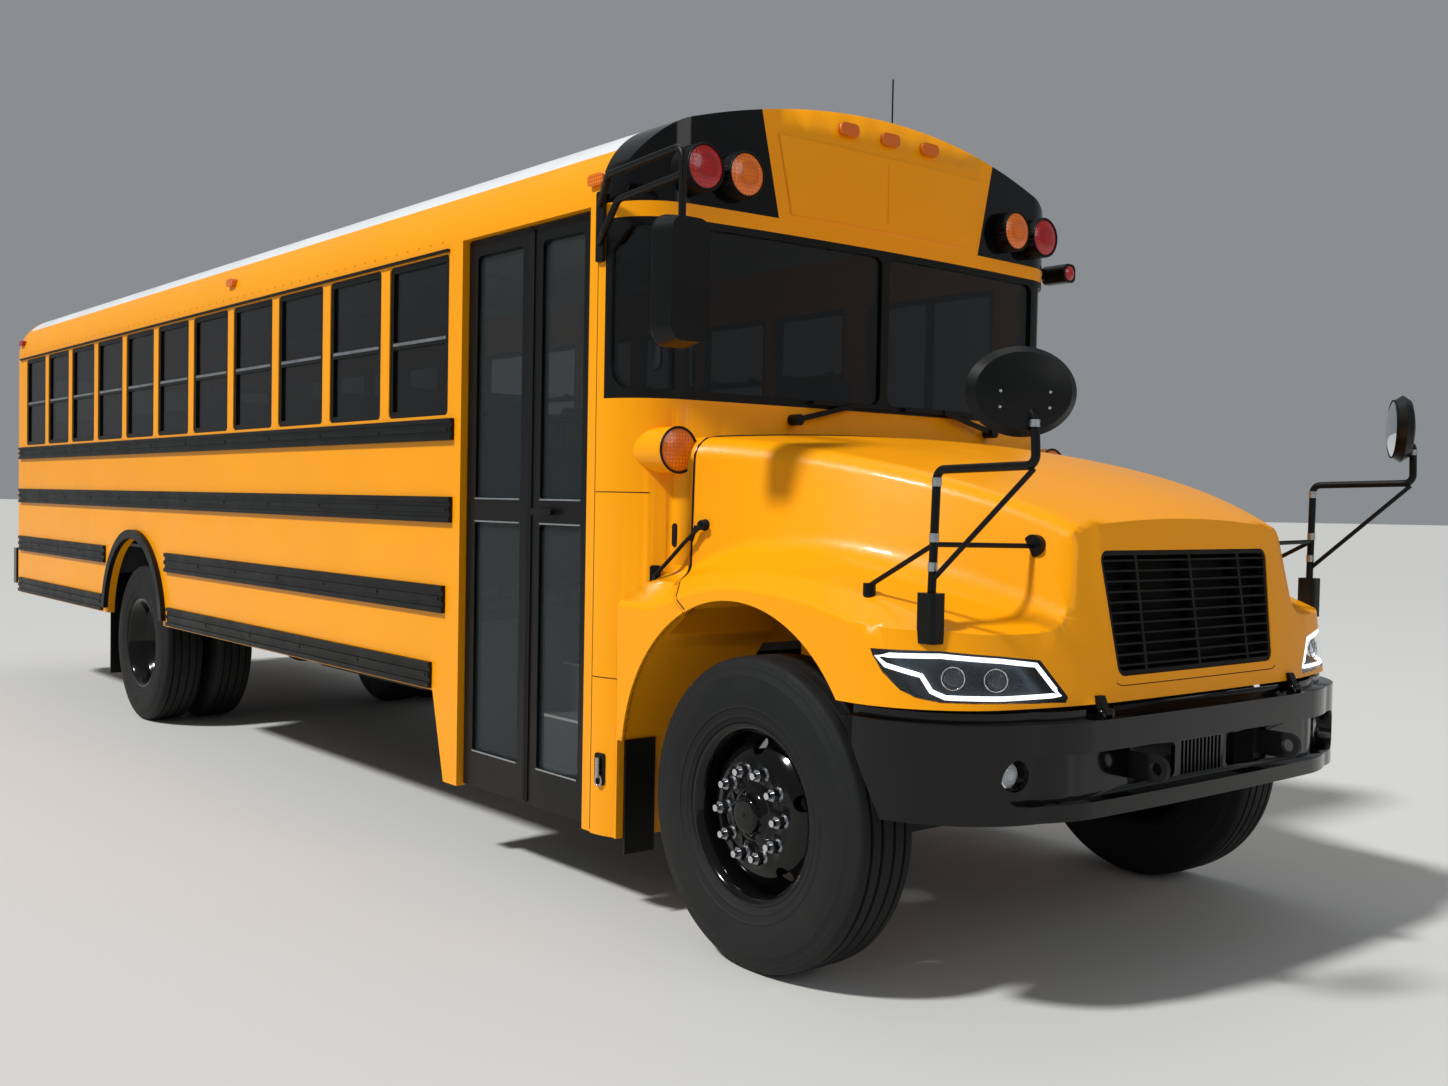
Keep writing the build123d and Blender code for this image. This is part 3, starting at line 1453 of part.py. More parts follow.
for side in both():
    with BuildPart() as front_wheel:
        add(rim_barrel(front_axle_x, side * front_track_y))
        with BuildSketch(axle_plane(front_axle_x, side * front_track_y)):
            with BuildLine():
                Polyline(
                    (rim_radius - rim_wall + 1, side * 10),
                    (rim_radius - rim_wall + 1, side * 34),
                    (250, side * 52),
                    (212, side * 84),
                    (184, side * disc_face),
                    (90, side * disc_face),
                    (90, side * (disc_face - disc_plate)),
                    (180, side * (disc_face - disc_plate)),
                    (205, side * 70),
                    (243, side * 38),
                    close=True,
                )
            make_face()
        revolve(axis=wheel_axis(front_axle_x))
        with BuildSketch(Plane.XZ.offset(-side * (front_track_y + 20))):
            with Locations((front_axle_x, wheel_z)):
                with PolarLocations(hand_hole_circle, 5, 90):
                    Circle(hand_hole_radius)
        extrude(amount=-side * 90, mode=Mode.SUBTRACT)
        with BuildSketch(axle_plane(front_axle_x, side * front_track_y)):
            with BuildLine():
                Polyline(
                    (0, -side * drum_back),
                    (drum_radius, -side * drum_back),
                    (drum_radius, side * 25),
                    (drum_radius - 25, side * 50),
                    (hub_flange_radius, side * (disc_face - disc_plate)),
                    (hub_flange_radius - 14, side * (disc_face + 8)),
                    (hub_cap_radius + 14, side * (disc_face + 10)),
                    (hub_cap_radius, side * (disc_face + 24)),
                    (hub_cap_radius - 8, side * (disc_face + 44)),
                    (0, side * (disc_face + 48)),
                    close=True,
                )
            make_face()
        revolve(axis=wheel_axis(front_axle_x))
        with BuildSketch(Plane.XZ.offset(-side * (front_track_y + disc_face - 1))):
            with Locations((front_axle_x, wheel_z)):
                with PolarLocations(stud_circle, stud_count):
                    RegularPolygon(nut_across / 2, 6, major_radius=False)
        extrude(amount=-side * nut_height)
        with BuildSketch(Plane.XZ.offset(-side * (front_track_y + disc_face - 1))):
            with Locations((front_axle_x, wheel_z)):
                with PolarLocations(stud_circle, stud_count):
                    Circle(stud_radius)
        extrude(amount=-side * stud_reach)
    save(front_wheel.part, "wheel_front_" + side_name(side))
    tyre = tyre_solid(front_axle_x, side * front_track_y)
    save(tyre, "tyre_front_" + side_name(side))

    with BuildPart() as rear_wheel:
        add(rim_barrel(rear_axle_x, side * rear_outer_y))
        add(rim_barrel(rear_axle_x, side * (rear_outer_y - dual_spacing)))
        with BuildSketch(axle_plane(rear_axle_x, side * rear_outer_y)):
            with BuildLine():
                Polyline(
                    (rim_radius - rim_wall + 1, side * 20),
                    (rim_radius - rim_wall + 1, -side * 4),
                    (246, -side * 40),
                    (200, -side * (dual_spacing / 2 - 40)),
                    (184, -side * dual_spacing / 2),
                    (90, -side * dual_spacing / 2),
                    (90, -side * (dual_spacing / 2 - disc_plate)),
                    (172, -side * (dual_spacing / 2 - disc_plate)),
                    (188, -side * (dual_spacing / 2 - 46)),
                    (236, -side * 26),
                    close=True,
                )
            make_face()
        revolve(axis=wheel_axis(rear_axle_x))
        with BuildSketch(axle_plane(rear_axle_x, side * (rear_outer_y - dual_spacing))):
            with BuildLine():
                Polyline(
                    (rim_radius - rim_wall + 1, -side * 20),
                    (rim_radius - rim_wall + 1, side * 4),
                    (246, side * 40),
                    (200, side * (dual_spacing / 2 - 40)),
                    (184, side * dual_spacing / 2),
                    (90, side * dual_spacing / 2),
                    (90, side * (dual_spacing / 2 - disc_plate)),
                    (172, side * (dual_spacing / 2 - disc_plate)),
                    (188, side * (dual_spacing / 2 - 46)),
                    (236, side * 26),
                    close=True,
                )
            make_face()
        revolve(axis=wheel_axis(rear_axle_x))
        with BuildSketch(axle_plane(rear_axle_x, side * (rear_outer_y - dual_spacing / 2))):
            with BuildLine():
                Polyline(
                    (0, -side * 150),
                    (drum_radius - 10, -side * 150),
                    (drum_radius - 10, -side * 60),
                    (drum_radius - 30, -side * 40),
                    (hub_flange_radius, -side * disc_plate),
                    (hub_flange_radius - 12, side * 60),
                    (hub_cap_radius + 16, side * 110),
                    (hub_cap_radius + 8, side * 128),
                    (0, side * 132),
                    close=True,
                )
            make_face()
        revolve(axis=wheel_axis(rear_axle_x))
        with BuildSketch(Plane.XZ.offset(-side * (rear_outer_y - dual_spacing / 2 + disc_plate - 1))):
            with Locations((rear_axle_x, wheel_z)):
                with PolarLocations(stud_circle, stud_count):
                    RegularPolygon(nut_across / 2, 6, major_radius=False)
        extrude(amount=-side * nut_height)
        with BuildSketch(Plane.XZ.offset(-side * (rear_outer_y - dual_spacing / 2 + disc_plate - 1))):
            with Locations((rear_axle_x, wheel_z)):
                with PolarLocations(stud_circle, stud_count):
                    Circle(stud_radius)
        extrude(amount=-side * stud_reach)
    save(rear_wheel.part, "wheel_rear_" + side_name(side))
    with BuildPart() as rear_tyres:
        add(tyre_solid(rear_axle_x, side * rear_outer_y))
        add(tyre_solid(rear_axle_x, side * (rear_outer_y - dual_spacing)))
    save(rear_tyres.part, "tyres_rear_" + side_name(side))

# Front axle: a dropped beam, knuckles on king pins and a tie rod behind
king_y = 895.0
beam_half = 38.0
beam_low_z = 372.0
beam_high_z = 462.0
beam_end_z = wheel_z + 55
yoke_reach = 60.0
plate_y = front_track_y - drum_back - touch_gap
with BuildPart() as front_axle:
    with BuildSketch(Plane.YZ.offset(front_axle_x - beam_half)):
        with BuildLine():
            Polyline(
                (-king_y + yoke_reach + 8, beam_end_z),
                (-king_y + yoke_reach + 8, beam_end_z - 100),
                (-king_y + 150, beam_low_z + 40),
                (-king_y + 240, beam_low_z),
                (king_y - 240, beam_low_z),
                (king_y - 150, beam_low_z + 40),
                (king_y - yoke_reach - 8, beam_end_z - 100),
                (king_y - yoke_reach - 8, beam_end_z),
                (king_y - 210, beam_high_z),
                (-king_y + 210, beam_high_z),
                close=True,
            )
        make_face()
    extrude(amount=2 * beam_half)
    for side in both():
        with BuildSketch(Plane.XY.offset(beam_end_z - 100)):
            with Locations((front_axle_x, side * (king_y - yoke_reach - 4))):
                Rectangle(2 * beam_half, 40)
            with Locations((front_axle_x, side * king_y)):
                Circle(36)
            with Locations((front_axle_x, side * (king_y - 30))):
                Rectangle(50, 60)
        extrude(amount=100)
save(front_axle.part, "front_axle")

arm_x = -210.0
arm_low_z = 392.0
for side in both():
    with BuildPart() as knuckle:
        for low_z in (beam_end_z - 100 - touch_gap - 40, beam_end_z + touch_gap):
            with BuildSketch(Plane.XY.offset(low_z)):
                with Locations((front_axle_x, side * king_y)):
                    Circle(40)
                with Locations((front_axle_x, side * (king_y + 40))):
                    Rectangle(72, 80)
            extrude(amount=40)
        with BuildSketch(Plane.XZ.offset(-side * (king_y + 52))):
            with Locations((front_axle_x, wheel_z)):
                Rectangle(110, 200)
        extrude(amount=-side * (plate_y - king_y - 52 - 14))
        with BuildSketch(Plane.XZ.offset(-side * (plate_y - 16))):
            with Locations((front_axle_x, wheel_z)):
                Circle(drum_radius - 8)
        extrude(amount=-side * 16)
        with BuildSketch(Plane.XY.offset(arm_low_z)):
            with BuildLine():
                Polyline(
                    (front_axle_x + 20, side * (king_y + 30)),
                    (front_axle_x + 20, side * (king_y + 80)),
                    (front_axle_x + arm_x - 24, side * (king_y - 20)),
                    (front_axle_x + arm_x - 24, side * (king_y - 80)),
                    close=True,
                )
            make_face()
        extrude(amount=44)
    save(knuckle.part, "knuckle_" + side_name(side))

tie_y = king_y - 40
tie_radius = 18.0
tie_end_radius = 26.0
tie_z = arm_low_z - 26
with BuildPart() as tie_rod:
    with BuildSketch(Plane.XZ.offset(-tie_y)):
        with Locations((front_axle_x + arm_x, tie_z)):
            Circle(tie_radius)
    extrude(amount=2 * tie_y)
    with BuildSketch(Plane.XY.offset(tie_z - 22)):
        with Locations(*[(front_axle_x + arm_x, side * tie_y) for side in both()]):
            Circle(tie_end_radius)
    extrude(amount=arm_low_z - touch_gap - tie_z + 22)
save(tie_rod.part, "tie_rod")

# Rear axle with its differential
tube_radius = 68.0
differential_radius = 190.0
differential_reach = 300.0
rear_plate_y = rear_outer_y - dual_spacing / 2 - 150 - touch_gap
with BuildPart() as rear_axle:
    with BuildSketch(Plane.XZ.offset(-rear_plate_y)):
        with Locations((rear_axle_x, wheel_z)):
            Circle(tube_radius)
    extrude(amount=2 * rear_plate_y)
    with Locations((rear_axle_x, 0, wheel_z)):
        Sphere(differential_radius)
    with BuildSketch(Plane.YZ.offset(rear_axle_x)):
        with Locations((0, wheel_z + 20)):
            Circle(110)
    extrude(amount=differential_reach)
save(rear_axle.part, "rear_axle")

# Leaf springs, clamped to the axles
front_spring_y = 392.0
leaf_plate = 15.0


def spring_pack(axle_x, centre_y, seat_z, reach, rise, leaves):
    with BuildPart() as pack:
        with BuildSketch(Plane.XZ.offset(-(centre_y - spring_width / 2))):
            for index in range(leaves):
                length = reach * (1 - 0.2 * index)
                with BuildLine():
                    low = seat_z + (leaves - 1 - index) * leaf_plate
                    lift = rise * (length / reach) ** 2
                    ThreePointArc(
                        (axle_x - length, low + lift),
                        (axle_x, low),
                        (axle_x + length, low + lift),
                    )
                    Line((axle_x + length, low + lift), (axle_x + length, low + lift + leaf_plate))
                    ThreePointArc(
                        (axle_x + length, low + lift + leaf_plate),
                        (axle_x, low + leaf_plate),
                        (axle_x - length, low + lift + leaf_plate),
                    )
                    Line((axle_x - length, low + lift + leaf_plate), (axle_x - length, low + lift))
                make_face()
        extrude(amount=-spring_width)
    return pack.part


front_reach = 620.0
front_rise = rail_top_z - rail_height - beam_high_z - 3 * leaf_plate - 40
rear_seat_z = wheel_z + tube_radius
rear_reach = 680.0
with BuildPart() as leaf_springs:
    for side in both():
        add(spring_pack(front_axle_x, side * front_spring_y, beam_high_z, front_reach, front_rise, 3))
        add(spring_pack(rear_axle_x, side * rear_spring_y, rear_seat_z, rear_reach, 60, 3))
        for end in both():
            with BuildSketch(Plane.XZ.offset(-(side * front_spring_y - spring_width / 2))):
                with Locations((front_axle_x + end * (front_reach - 20), rail_top_z - rail_height - 28)):
                    Rectangle(90, 56)
            extrude(amount=-spring_width)
            with BuildSketch(Plane.XZ.offset(-(side * rear_spring_y - spring_width / 2))):
                with Locations((rear_axle_x + end * (rear_reach - 20), rear_seat_z + 90)):
                    Rectangle(90, 80)
            extrude(amount=-spring_width)
save(leaf_springs.part, "leaf_springs")

# Engine block, gearbox and propeller shaft
engine_front_x = front_axle_x + 560.0
engine_rear_x = front_axle_x - 500.0
engine_half = 270.0
engine_low_z = 680.0
engine_top_z = 1420.0
gearbox_rear_x = front_axle_x - 1350.0
gearbox_half = 190.0
gearbox_low_z = 560.0
gearbox_top_z = 930.0
shaft_radius = 52.0
radiator_x = front_axle_x + 690.0
radiator_half = 400.0
radiator_top_z = 1440.0
radiator_depth = 70.0
shaft_rear_x = rear_axle_x + differential_reach + touch_gap
with BuildPart() as powertrain:
    with BuildSketch(Plane.YZ.offset(engine_rear_x)):
        with Locations((0, (engine_low_z + engine_top_z) / 2)):
            RectangleRounded(2 * engine_half, engine_top_z - engine_low_z, 50)
    extrude(amount=engine_front_x - engine_rear_x)
    with BuildSketch(Plane.YZ.offset(gearbox_rear_x)):
        with Locations((0, (gearbox_low_z + gearbox_top_z) / 2)):
            RectangleRounded(2 * gearbox_half, gearbox_top_z - gearbox_low_z, 60)
    extrude(amount=engine_rear_x - gearbox_rear_x + 20)
    with BuildSketch(Plane.YZ.offset(radiator_x)):
        with Locations((0, (rail_top_z + radiator_top_z) / 2)):
            Rectangle(2 * radiator_half, radiator_top_z - rail_top_z)
    extrude(amount=radiator_depth)
    with BuildSketch(Plane.YZ.offset(engine_front_x)):
        with Locations((0, 1050)):
            Circle(60)
    extrude(amount=radiator_x - engine_front_x)
    with BuildSketch(Plane.YZ.offset(shaft_rear_x)):
        with Locations((0, wheel_z + 20)):
            Circle(shaft_radius)
    extrude(amount=gearbox_rear_x - shaft_rear_x + 20)

# Fuel tank on the driver's side and the exhaust
tank_front_x = front_axle_x - 3400.0
tank_rear_x = front_axle_x - 4700.0
tank_low_z = 480.0
tank_top_z = 880.0
tank_in_y = rail_y
tank_out_y = 1080.0
with BuildPart() as fuel_tank:
    with BuildSketch(Plane.YZ.offset(tank_rear_x)):
        with Locations(((tank_in_y + tank_out_y) / 2, (tank_low_z + tank_top_z) / 2)):
            RectangleRounded(tank_out_y - tank_in_y, tank_top_z - tank_low_z, 50)
    extrude(amount=tank_front_x - tank_rear_x)
save(fuel_tank.part, "fuel_tank")

pipe_y = -640.0
pipe_z = 600.0
muffler_front_x = front_axle_x - 3200.0
muffler_rear_x = front_axle_x - 4500.0
muffler_radius = 140.0
pipe_radius = 55.0
pipe_front_x = well_rear_x - 100.0
with BuildPart() as exhaust:
    with BuildSketch(Plane.YZ.offset(muffler_rear_x)):
        with Locations((pipe_y, pipe_z + 60)):
            Circle(muffler_radius)
    extrude(amount=muffler_front_x - muffler_rear_x)
    with BuildSketch(Plane.YZ.offset(muffler_front_x - 10)):
        with Locations((pipe_y, pipe_z + 60)):
            Circle(pipe_radius)
    extrude(amount=pipe_front_x - muffler_front_x + 10)
    for spot in (muffler_front_x - 200, muffler_rear_x + 200):
        with BuildSketch(Plane.YZ.offset(spot)):
            with Locations((pipe_y / 2 - rail_y / 2, pipe_z + 60 + 70)):
                Rectangle(-pipe_y - rail_y, 60)
        extrude(amount=30)

# Passenger benches, both sides of the aisle
bench_count = 11
bench_pitch = 640.0
bench_front_x = front_axle_x - 2330.0
bench_depth = 400.0
bench_width = 880.0
bench_wall_gap = 12.0
bench_seat_z = floor_top_z + 430.0
bench_cushion = 100.0
bench_back_height = 640.0
bench_back_thickness = 75.0
bench_leg = 32.0
bench_lean = 40.0
bench_mid_y = inner_half - bench_wall_gap - bench_width / 2
with BuildPart() as benches:
    for side in both():
        for index in range(bench_count):
            seat_x = bench_front_x - index * bench_pitch
            hinge_x = seat_x - bench_depth
            base_z = bench_seat_z - bench_cushion
            top_z = bench_seat_z + bench_back_height
            with BuildSketch(Plane.XZ.offset(-side * (bench_mid_y - bench_width / 2))):
                with BuildLine():
                    Polyline(
                        (seat_x, base_z),
                        (seat_x, bench_seat_z),
                        (hinge_x + touch_gap, bench_seat_z),
                        (hinge_x + touch_gap, base_z),
                        close=True,
                    )
                make_face()
                with BuildLine():
                    Polyline(
                        (hinge_x, base_z),
                        (hinge_x, bench_seat_z),
                        (hinge_x - bench_lean, top_z),
                        (hinge_x - bench_lean - bench_back_thickness, top_z),
                        (hinge_x - bench_back_thickness, base_z),
                        close=True,
                    )
                make_face()
            extrude(amount=-side * bench_width)

with BuildPart() as bench_legs:
    for side in both():
        for index in range(bench_count):
            seat_x = bench_front_x - index * bench_pitch
            for leg_x in (seat_x - 60, seat_x - bench_depth + bench_leg / 2 + 1):
                over_box = abs(leg_x - rear_arch_x) < wheel_box_half + bench_leg
                leg_ys = [bench_mid_y - bench_width / 2 + 60]
                if not over_box:
                    leg_ys.append(bench_mid_y + bench_width / 2 - 60)
                for leg_y in leg_ys:
                    with BuildSketch(Plane.XY.offset(floor_top_z)):
                        with Locations((leg_x, side * leg_y)):
                            Rectangle(bench_leg, bench_leg)
                    extrude(amount=bench_seat_z - bench_cushion - floor_top_z)

# Driver's seat, dashboard, steering wheel and the grab rails by the steps
driver_y = 620.0
driver_seat_x = front_axle_x - 1480.0
driver_seat_z = floor_top_z + 440.0
dash_top_z = 1800.0
dash_depth = 405.0
dash_front_x = plan_front_x
steer_x = front_axle_x - 1060.0
steer_z = 1745.0
steer_tilt = 35.0
steer_radius = 225.0
column_radius = 34.0
column_length = 270.0
with BuildPart() as driver_seat:
    with BuildSketch(Plane.XY.offset(driver_seat_z - 110)):
        with Locations((driver_seat_x, driver_y)):
            RectangleRounded(480, 500, 50)
    extrude(amount=110)
    with BuildSketch(Plane.XY.offset(driver_seat_z + touch_gap)):
        with Locations((driver_seat_x - 195, driver_y)):
            RectangleRounded(90, 480, 30)
    extrude(amount=720)
    with BuildSketch(Plane.XY.offset(floor_top_z)):
        with Locations((driver_seat_x, driver_y)):
            Rectangle(260, 300)
    extrude(amount=driver_seat_z - 110 - floor_top_z)

with BuildPart() as dashboard:
    with BuildSketch(Plane.XZ.offset(-body_half)):
        with BuildLine():
            Polyline(
                (dash_front_x, floor_top_z + 300),
                (dash_front_x, dash_top_z),
                (dash_front_x - 120, dash_top_z + 30),
                (dash_front_x - dash_depth, dash_top_z - 60),
                (dash_front_x - dash_depth, dash_top_z - 200),
                (dash_front_x - 200, floor_top_z + 300),
                close=True,
            )
        make_face()
    extrude(amount=2 * body_half)
    extrude(
        plan_fill(wall + touch_gap, cap_rear_x, floor_z),
        amount=dash_top_z + 100 - floor_z,
        mode=Mode.INTERSECT,
    )
    wheel_plane = Plane(
        origin=(steer_x, driver_y, steer_z),
        x_dir=(0, 1, 0),
        z_dir=(-sin(radians(steer_tilt)), 0, cos(radians(steer_tilt))),
    )
    with BuildSketch(wheel_plane):
        Circle(steer_radius)
        Circle(steer_radius - 26, mode=Mode.SUBTRACT)
        Rectangle(2 * steer_radius - 30, 40)
        with Locations((0, 0)):
            Circle(60)
    extrude(amount=26)
    with BuildSketch(wheel_plane):
        Circle(column_radius)
    extrude(amount=-column_length)

rail_tube = 16.0
grab_x = well_rear_x - 40
with BuildPart() as grab_rails:
    add(
        tube(
            [
                (grab_x, -well_in_y - 30, floor_top_z - 5),
                (grab_x, -well_in_y - 30, floor_top_z + 900),
                (grab_x, -inner_half + 60, floor_top_z + 900),
                (grab_x, -inner_half + 60, floor_top_z - 5),
            ],
            rail_tube,
            60,
        )
    )
    split(bisect_by=Plane.XY.offset(floor_top_z), keep=Keep.TOP)
    with BuildSketch(Plane.YZ.offset(grab_x - 6)):
        with Locations((-(well_in_y + 30 + inner_half - 60) / 2, floor_top_z + 460)):
            Rectangle(inner_half - 90 - well_in_y, 620)
    extrude(amount=12)

# Cross-view mirrors, one on each front corner of the hood
arm_radius = 13.0
cross_base = (686.0, 1091.0, 1183.0)
cross_post_top = (694.0, 1085.0, 1656.0)
cross_arm_end = (1071.0, 1105.0, 1666.0)
cross_centre = (1018.0, 1111.0, 1868.0)
cross_across = 318.0
cross_tall = 250.0
cross_back = 26.0
cross_back_share = 0.86
cross_front = 30.0
cross_front_share = 0.84
cross_turn = 33.0
cross_arm_rise = (1066.0, 1109.0, 1795.0)
cross_pad = (430.0, 1090.0, 1296.0)
cross_disc = (716.0, 600.0, 1430.0)
cross_disc_radius = 36.0
cross_disc_reach = 66.0
cross_struts = (
    ((430, 1090, 1300), (690, 1088, 1436)),
    ((716, 665, 1430), (690, 1088, 1436)),
    ((688, 1090, 1330), (1062, 1104, 1655)),
)
strut_radius = 8.0


def on_hood(point, side):
    return (front_axle_x + point[0], side * point[1], point[2])


for side in both():
    facing = (-cos(radians(cross_turn)), -side * sin(radians(cross_turn)), 0)
    across = (sin(radians(cross_turn)), -side * cos(radians(cross_turn)), 0)
    head_plane = Plane(origin=on_hood(cross_centre, side), x_dir=across, z_dir=facing)
    post = tube(
        [
            on_hood((cross_base[0], cross_base[1], cross_base[2] + 40), side),
            on_hood(cross_post_top, side),
            on_hood(cross_arm_end, side),
            on_hood(cross_arm_rise, side),
            on_hood(cross_centre, side),
        ],
        arm_radius,
        30,
    )
    with BuildPart() as feet:
        with BuildSketch(Plane.XY.offset(cross_base[2] - 40)):
            with Locations(on_hood(cross_base, side)[0:2]):
                RectangleRounded(70, 60, 14)
        extrude(amount=150)
        with BuildSketch(Plane(origin=on_hood(cross_disc, side), z_dir=(0, side, 0))):
            Circle(cross_disc_radius)
        extrude(amount=cross_disc_reach)
        with BuildSketch(Plane.XY.offset(cross_pad[2] - 40)):
            with Locations(on_hood(cross_pad, side)[0:2]):
                Circle(20)
        extrude(amount=52)
        add(nose_outer, mode=Mode.SUBTRACT)
    with BuildPart() as cross_mirror:
        add(post)
        for foot, top in cross_struts:
            start = Vector(*on_hood(foot, side))
            finish = Vector(*on_hood(top, side))
            with BuildSketch(Plane(origin=start, z_dir=finish - start)):
                Circle(strut_radius)
            extrude(amount=(finish - start).length)
        for depth, share in ((-cross_back, cross_back_share), (cross_front, cross_front_share)):
            with BuildSketch(head_plane):
                Ellipse(cross_across / 2, cross_tall / 2)
            with BuildSketch(head_plane.offset(depth)):
                Ellipse(cross_across / 2 * share, cross_tall / 2 * share)
            loft()
        for foot in feet.solids():
            add(foot)
    save(cross_mirror.part, "cross_mirror_" + side_name(side))

# Flat mirror by the entrance, on two arms from the front corner
door_mirror_x = front_axle_x - 285.0
door_mirror_y = -1318.0
door_mirror_z = 2285.0
door_mirror_width = 190.0
door_mirror_height = 440.0
door_mirror_depth = 85.0
door_mirror_corner = 62.0
bracket_x = front_axle_x - 862.0
with BuildPart() as door_mirror:
    with BuildSketch(Plane.YZ.offset(door_mirror_x)):
        with Locations((door_mirror_y, door_mirror_z)):
            RectangleRounded(door_mirror_width, door_mirror_height, door_mirror_corner)
    extrude(amount=door_mirror_depth, taper=10)
    with BuildSketch(Plane.YZ.offset(door_mirror_x)):
        with Locations((door_mirror_y, door_mirror_z)):
            RectangleRounded(door_mirror_width, door_mirror_height, door_mirror_corner)
    extrude(amount=-12)
    upper_z = door_mirror_z + door_mirror_height / 2
    add(
        tube(
            [
                (bracket_x, -body_half - arm_radius - 0.5, 2640),
                (bracket_x + 130, -body_half - 70, 2720),
                (door_mirror_x + 30, door_mirror_y, 2735),
                (door_mirror_x + 30, door_mirror_y, upper_z - 30),
            ],
            arm_radius,
            45,
        )
    )
    add(
        tube(
            [
                (bracket_x, -body_half - arm_radius - 0.5, 2500),
                (bracket_x + 90, -body_half - 60, 2520),
                (bracket_x + 200, -body_half - 75, 2620),
                (door_mirror_x + 30, door_mirror_y, 2640),
            ],
            arm_radius,
            45,
        )
    )
    with BuildSketch(Plane.XZ.offset(body_half + touch_gap)):
        with Locations((bracket_x - 5, 2560)):
            RectangleRounded(46, 260, 10)
    extrude(amount=14)

# Stop arm on the driver's side, folded against the body
stop_x = front_axle_x - 1560.0
stop_z = 1660.0
stop_size = 450.0
stop_plate = 8.0
stop_hinge_x = stop_x + stop_size / 2 + 30
stop_gap = 34.0
stop_plane = Plane.XZ.offset(-(body_half + stop_gap))
with BuildPart() as stop_arm:
    with BuildSketch(stop_plane):
        with Locations((stop_x, stop_z)):
            RegularPolygon(stop_size / 2, 8, major_radius=False, rotation=22.5)
        with Locations(((stop_x + stop_hinge_x) / 2 + 90, stop_z)):
            Rectangle(stop_hinge_x - stop_x - 180, 200)
    extrude(amount=-stop_plate)
    with BuildSketch(Plane.XY.offset(stop_z - 100)):
        with Locations((stop_hinge_x, body_half + stop_gap)):
            Circle(12)
    extrude(amount=200)
save(stop_arm.part, "stop_arm")

stop_base_gap = touch_gap
with BuildPart() as stop_base:
    with BuildSketch(Plane.XY.offset(stop_z - 140)):
        with Locations((stop_hinge_x, body_half + touch_gap + 7)):
            Rectangle(110, 14)
    extrude(amount=280)
    for low_z in (stop_z - 140, stop_z + 100 + stop_base_gap):
        with BuildSketch(Plane.XY.offset(low_z)):
            with Locations((stop_hinge_x, body_half + touch_gap + (stop_gap + 14) / 2)):
                Rectangle(60, stop_gap + 14)
        extrude(amount=40 - stop_base_gap)

# Lamps: warning lamps in the cap and at the rear, identification, marker and turn lamps
warning_radius = 89.0
warning_spots = ((784.0, 2772.0), (982.0, 2769.0))
warning_reach = 34.0
identity_z = 3040.0
identity_pitch = 235.0
marker_size = (100.0, 50.0)
turn_spot = (1080.0, 1735.0)
tail_spots = (
    dict(y=1020.0, z=2790.0, radius=89.0),
    dict(y=800.0, z=2790.0, radius=89.0),
    dict(y=1060.0, z=1640.0, radius=89.0),
    dict(y=1060.0, z=1400.0, radius=60.0),
    dict(y=1060.0, z=1240.0, radius=60.0),
)
tail_reach = 24.0
side_marker_spots = (
    dict(x=-905.0, z=2740.0),
    dict(x=-4617.0, z=2752.0),
    dict(x=-9330.0, z=2752.0),
)
turn_radius = 85.0
cab_full = cab_solid(0, cowl_low_z)
with BuildPart() as roof_full:
    extrude(roof_fill(0, window_sill_z, body_rear_x), amount=cap_rear_x - body_rear_x + 60)

with BuildPart() as lamp_heads:
    for side in both():
        for across, height in warning_spots:
            with BuildSketch(Plane.YZ.offset(plan_front_x - 250)):
                with Locations((side * across, height)):
                    Circle(warning_radius)
            extrude(amount=250 + warning_reach)
        with BuildSketch(Plane.YZ.offset(plan_front_x - 250)):
            with Locations((side * turn_spot[0], turn_spot[1])):
                Circle(turn_radius)
        extrude(amount=250 + 30)
        with BuildSketch(Plane.YZ.offset(fog_rear_x)):
            with Locations((side * fog_y, fog_z)):
                Circle(fog_radius)
        extrude(amount=fog_reach)
        for spot in tail_spots:
            with BuildSketch(Plane.YZ.offset(body_rear_x)):
                with Locations((side * spot["y"], spot["z"])):
                    Circle(spot["radius"])
            extrude(amount=-tail_reach)
        for spot in side_marker_spots:
            with BuildSketch(Plane.XZ.offset(-side * (body_half - 60))):
                with Locations((front_axle_x + spot["x"], spot["z"])):
                    RectangleRounded(100, 44, 18)
            extrude(amount=-side * 72)
    for shift in (-identity_pitch, 0, identity_pitch):
        with BuildSketch(Plane.YZ.offset(plan_front_x - 200)):
            with Locations((shift, identity_z)):
                RectangleRounded(*marker_size, 20)
        extrude(amount=200 + 16)
        with BuildSketch(Plane.YZ.offset(body_rear_x)):
            with Locations((shift, identity_z - 60)):
                RectangleRounded(*marker_size, 20)
        extrude(amount=-16)
    add(cab_full, mode=Mode.SUBTRACT)
    add(roof_full.part, mode=Mode.SUBTRACT)
    add(cowl_step.part, mode=Mode.SUBTRACT)
save(lamp_heads.part, "lamp_heads")

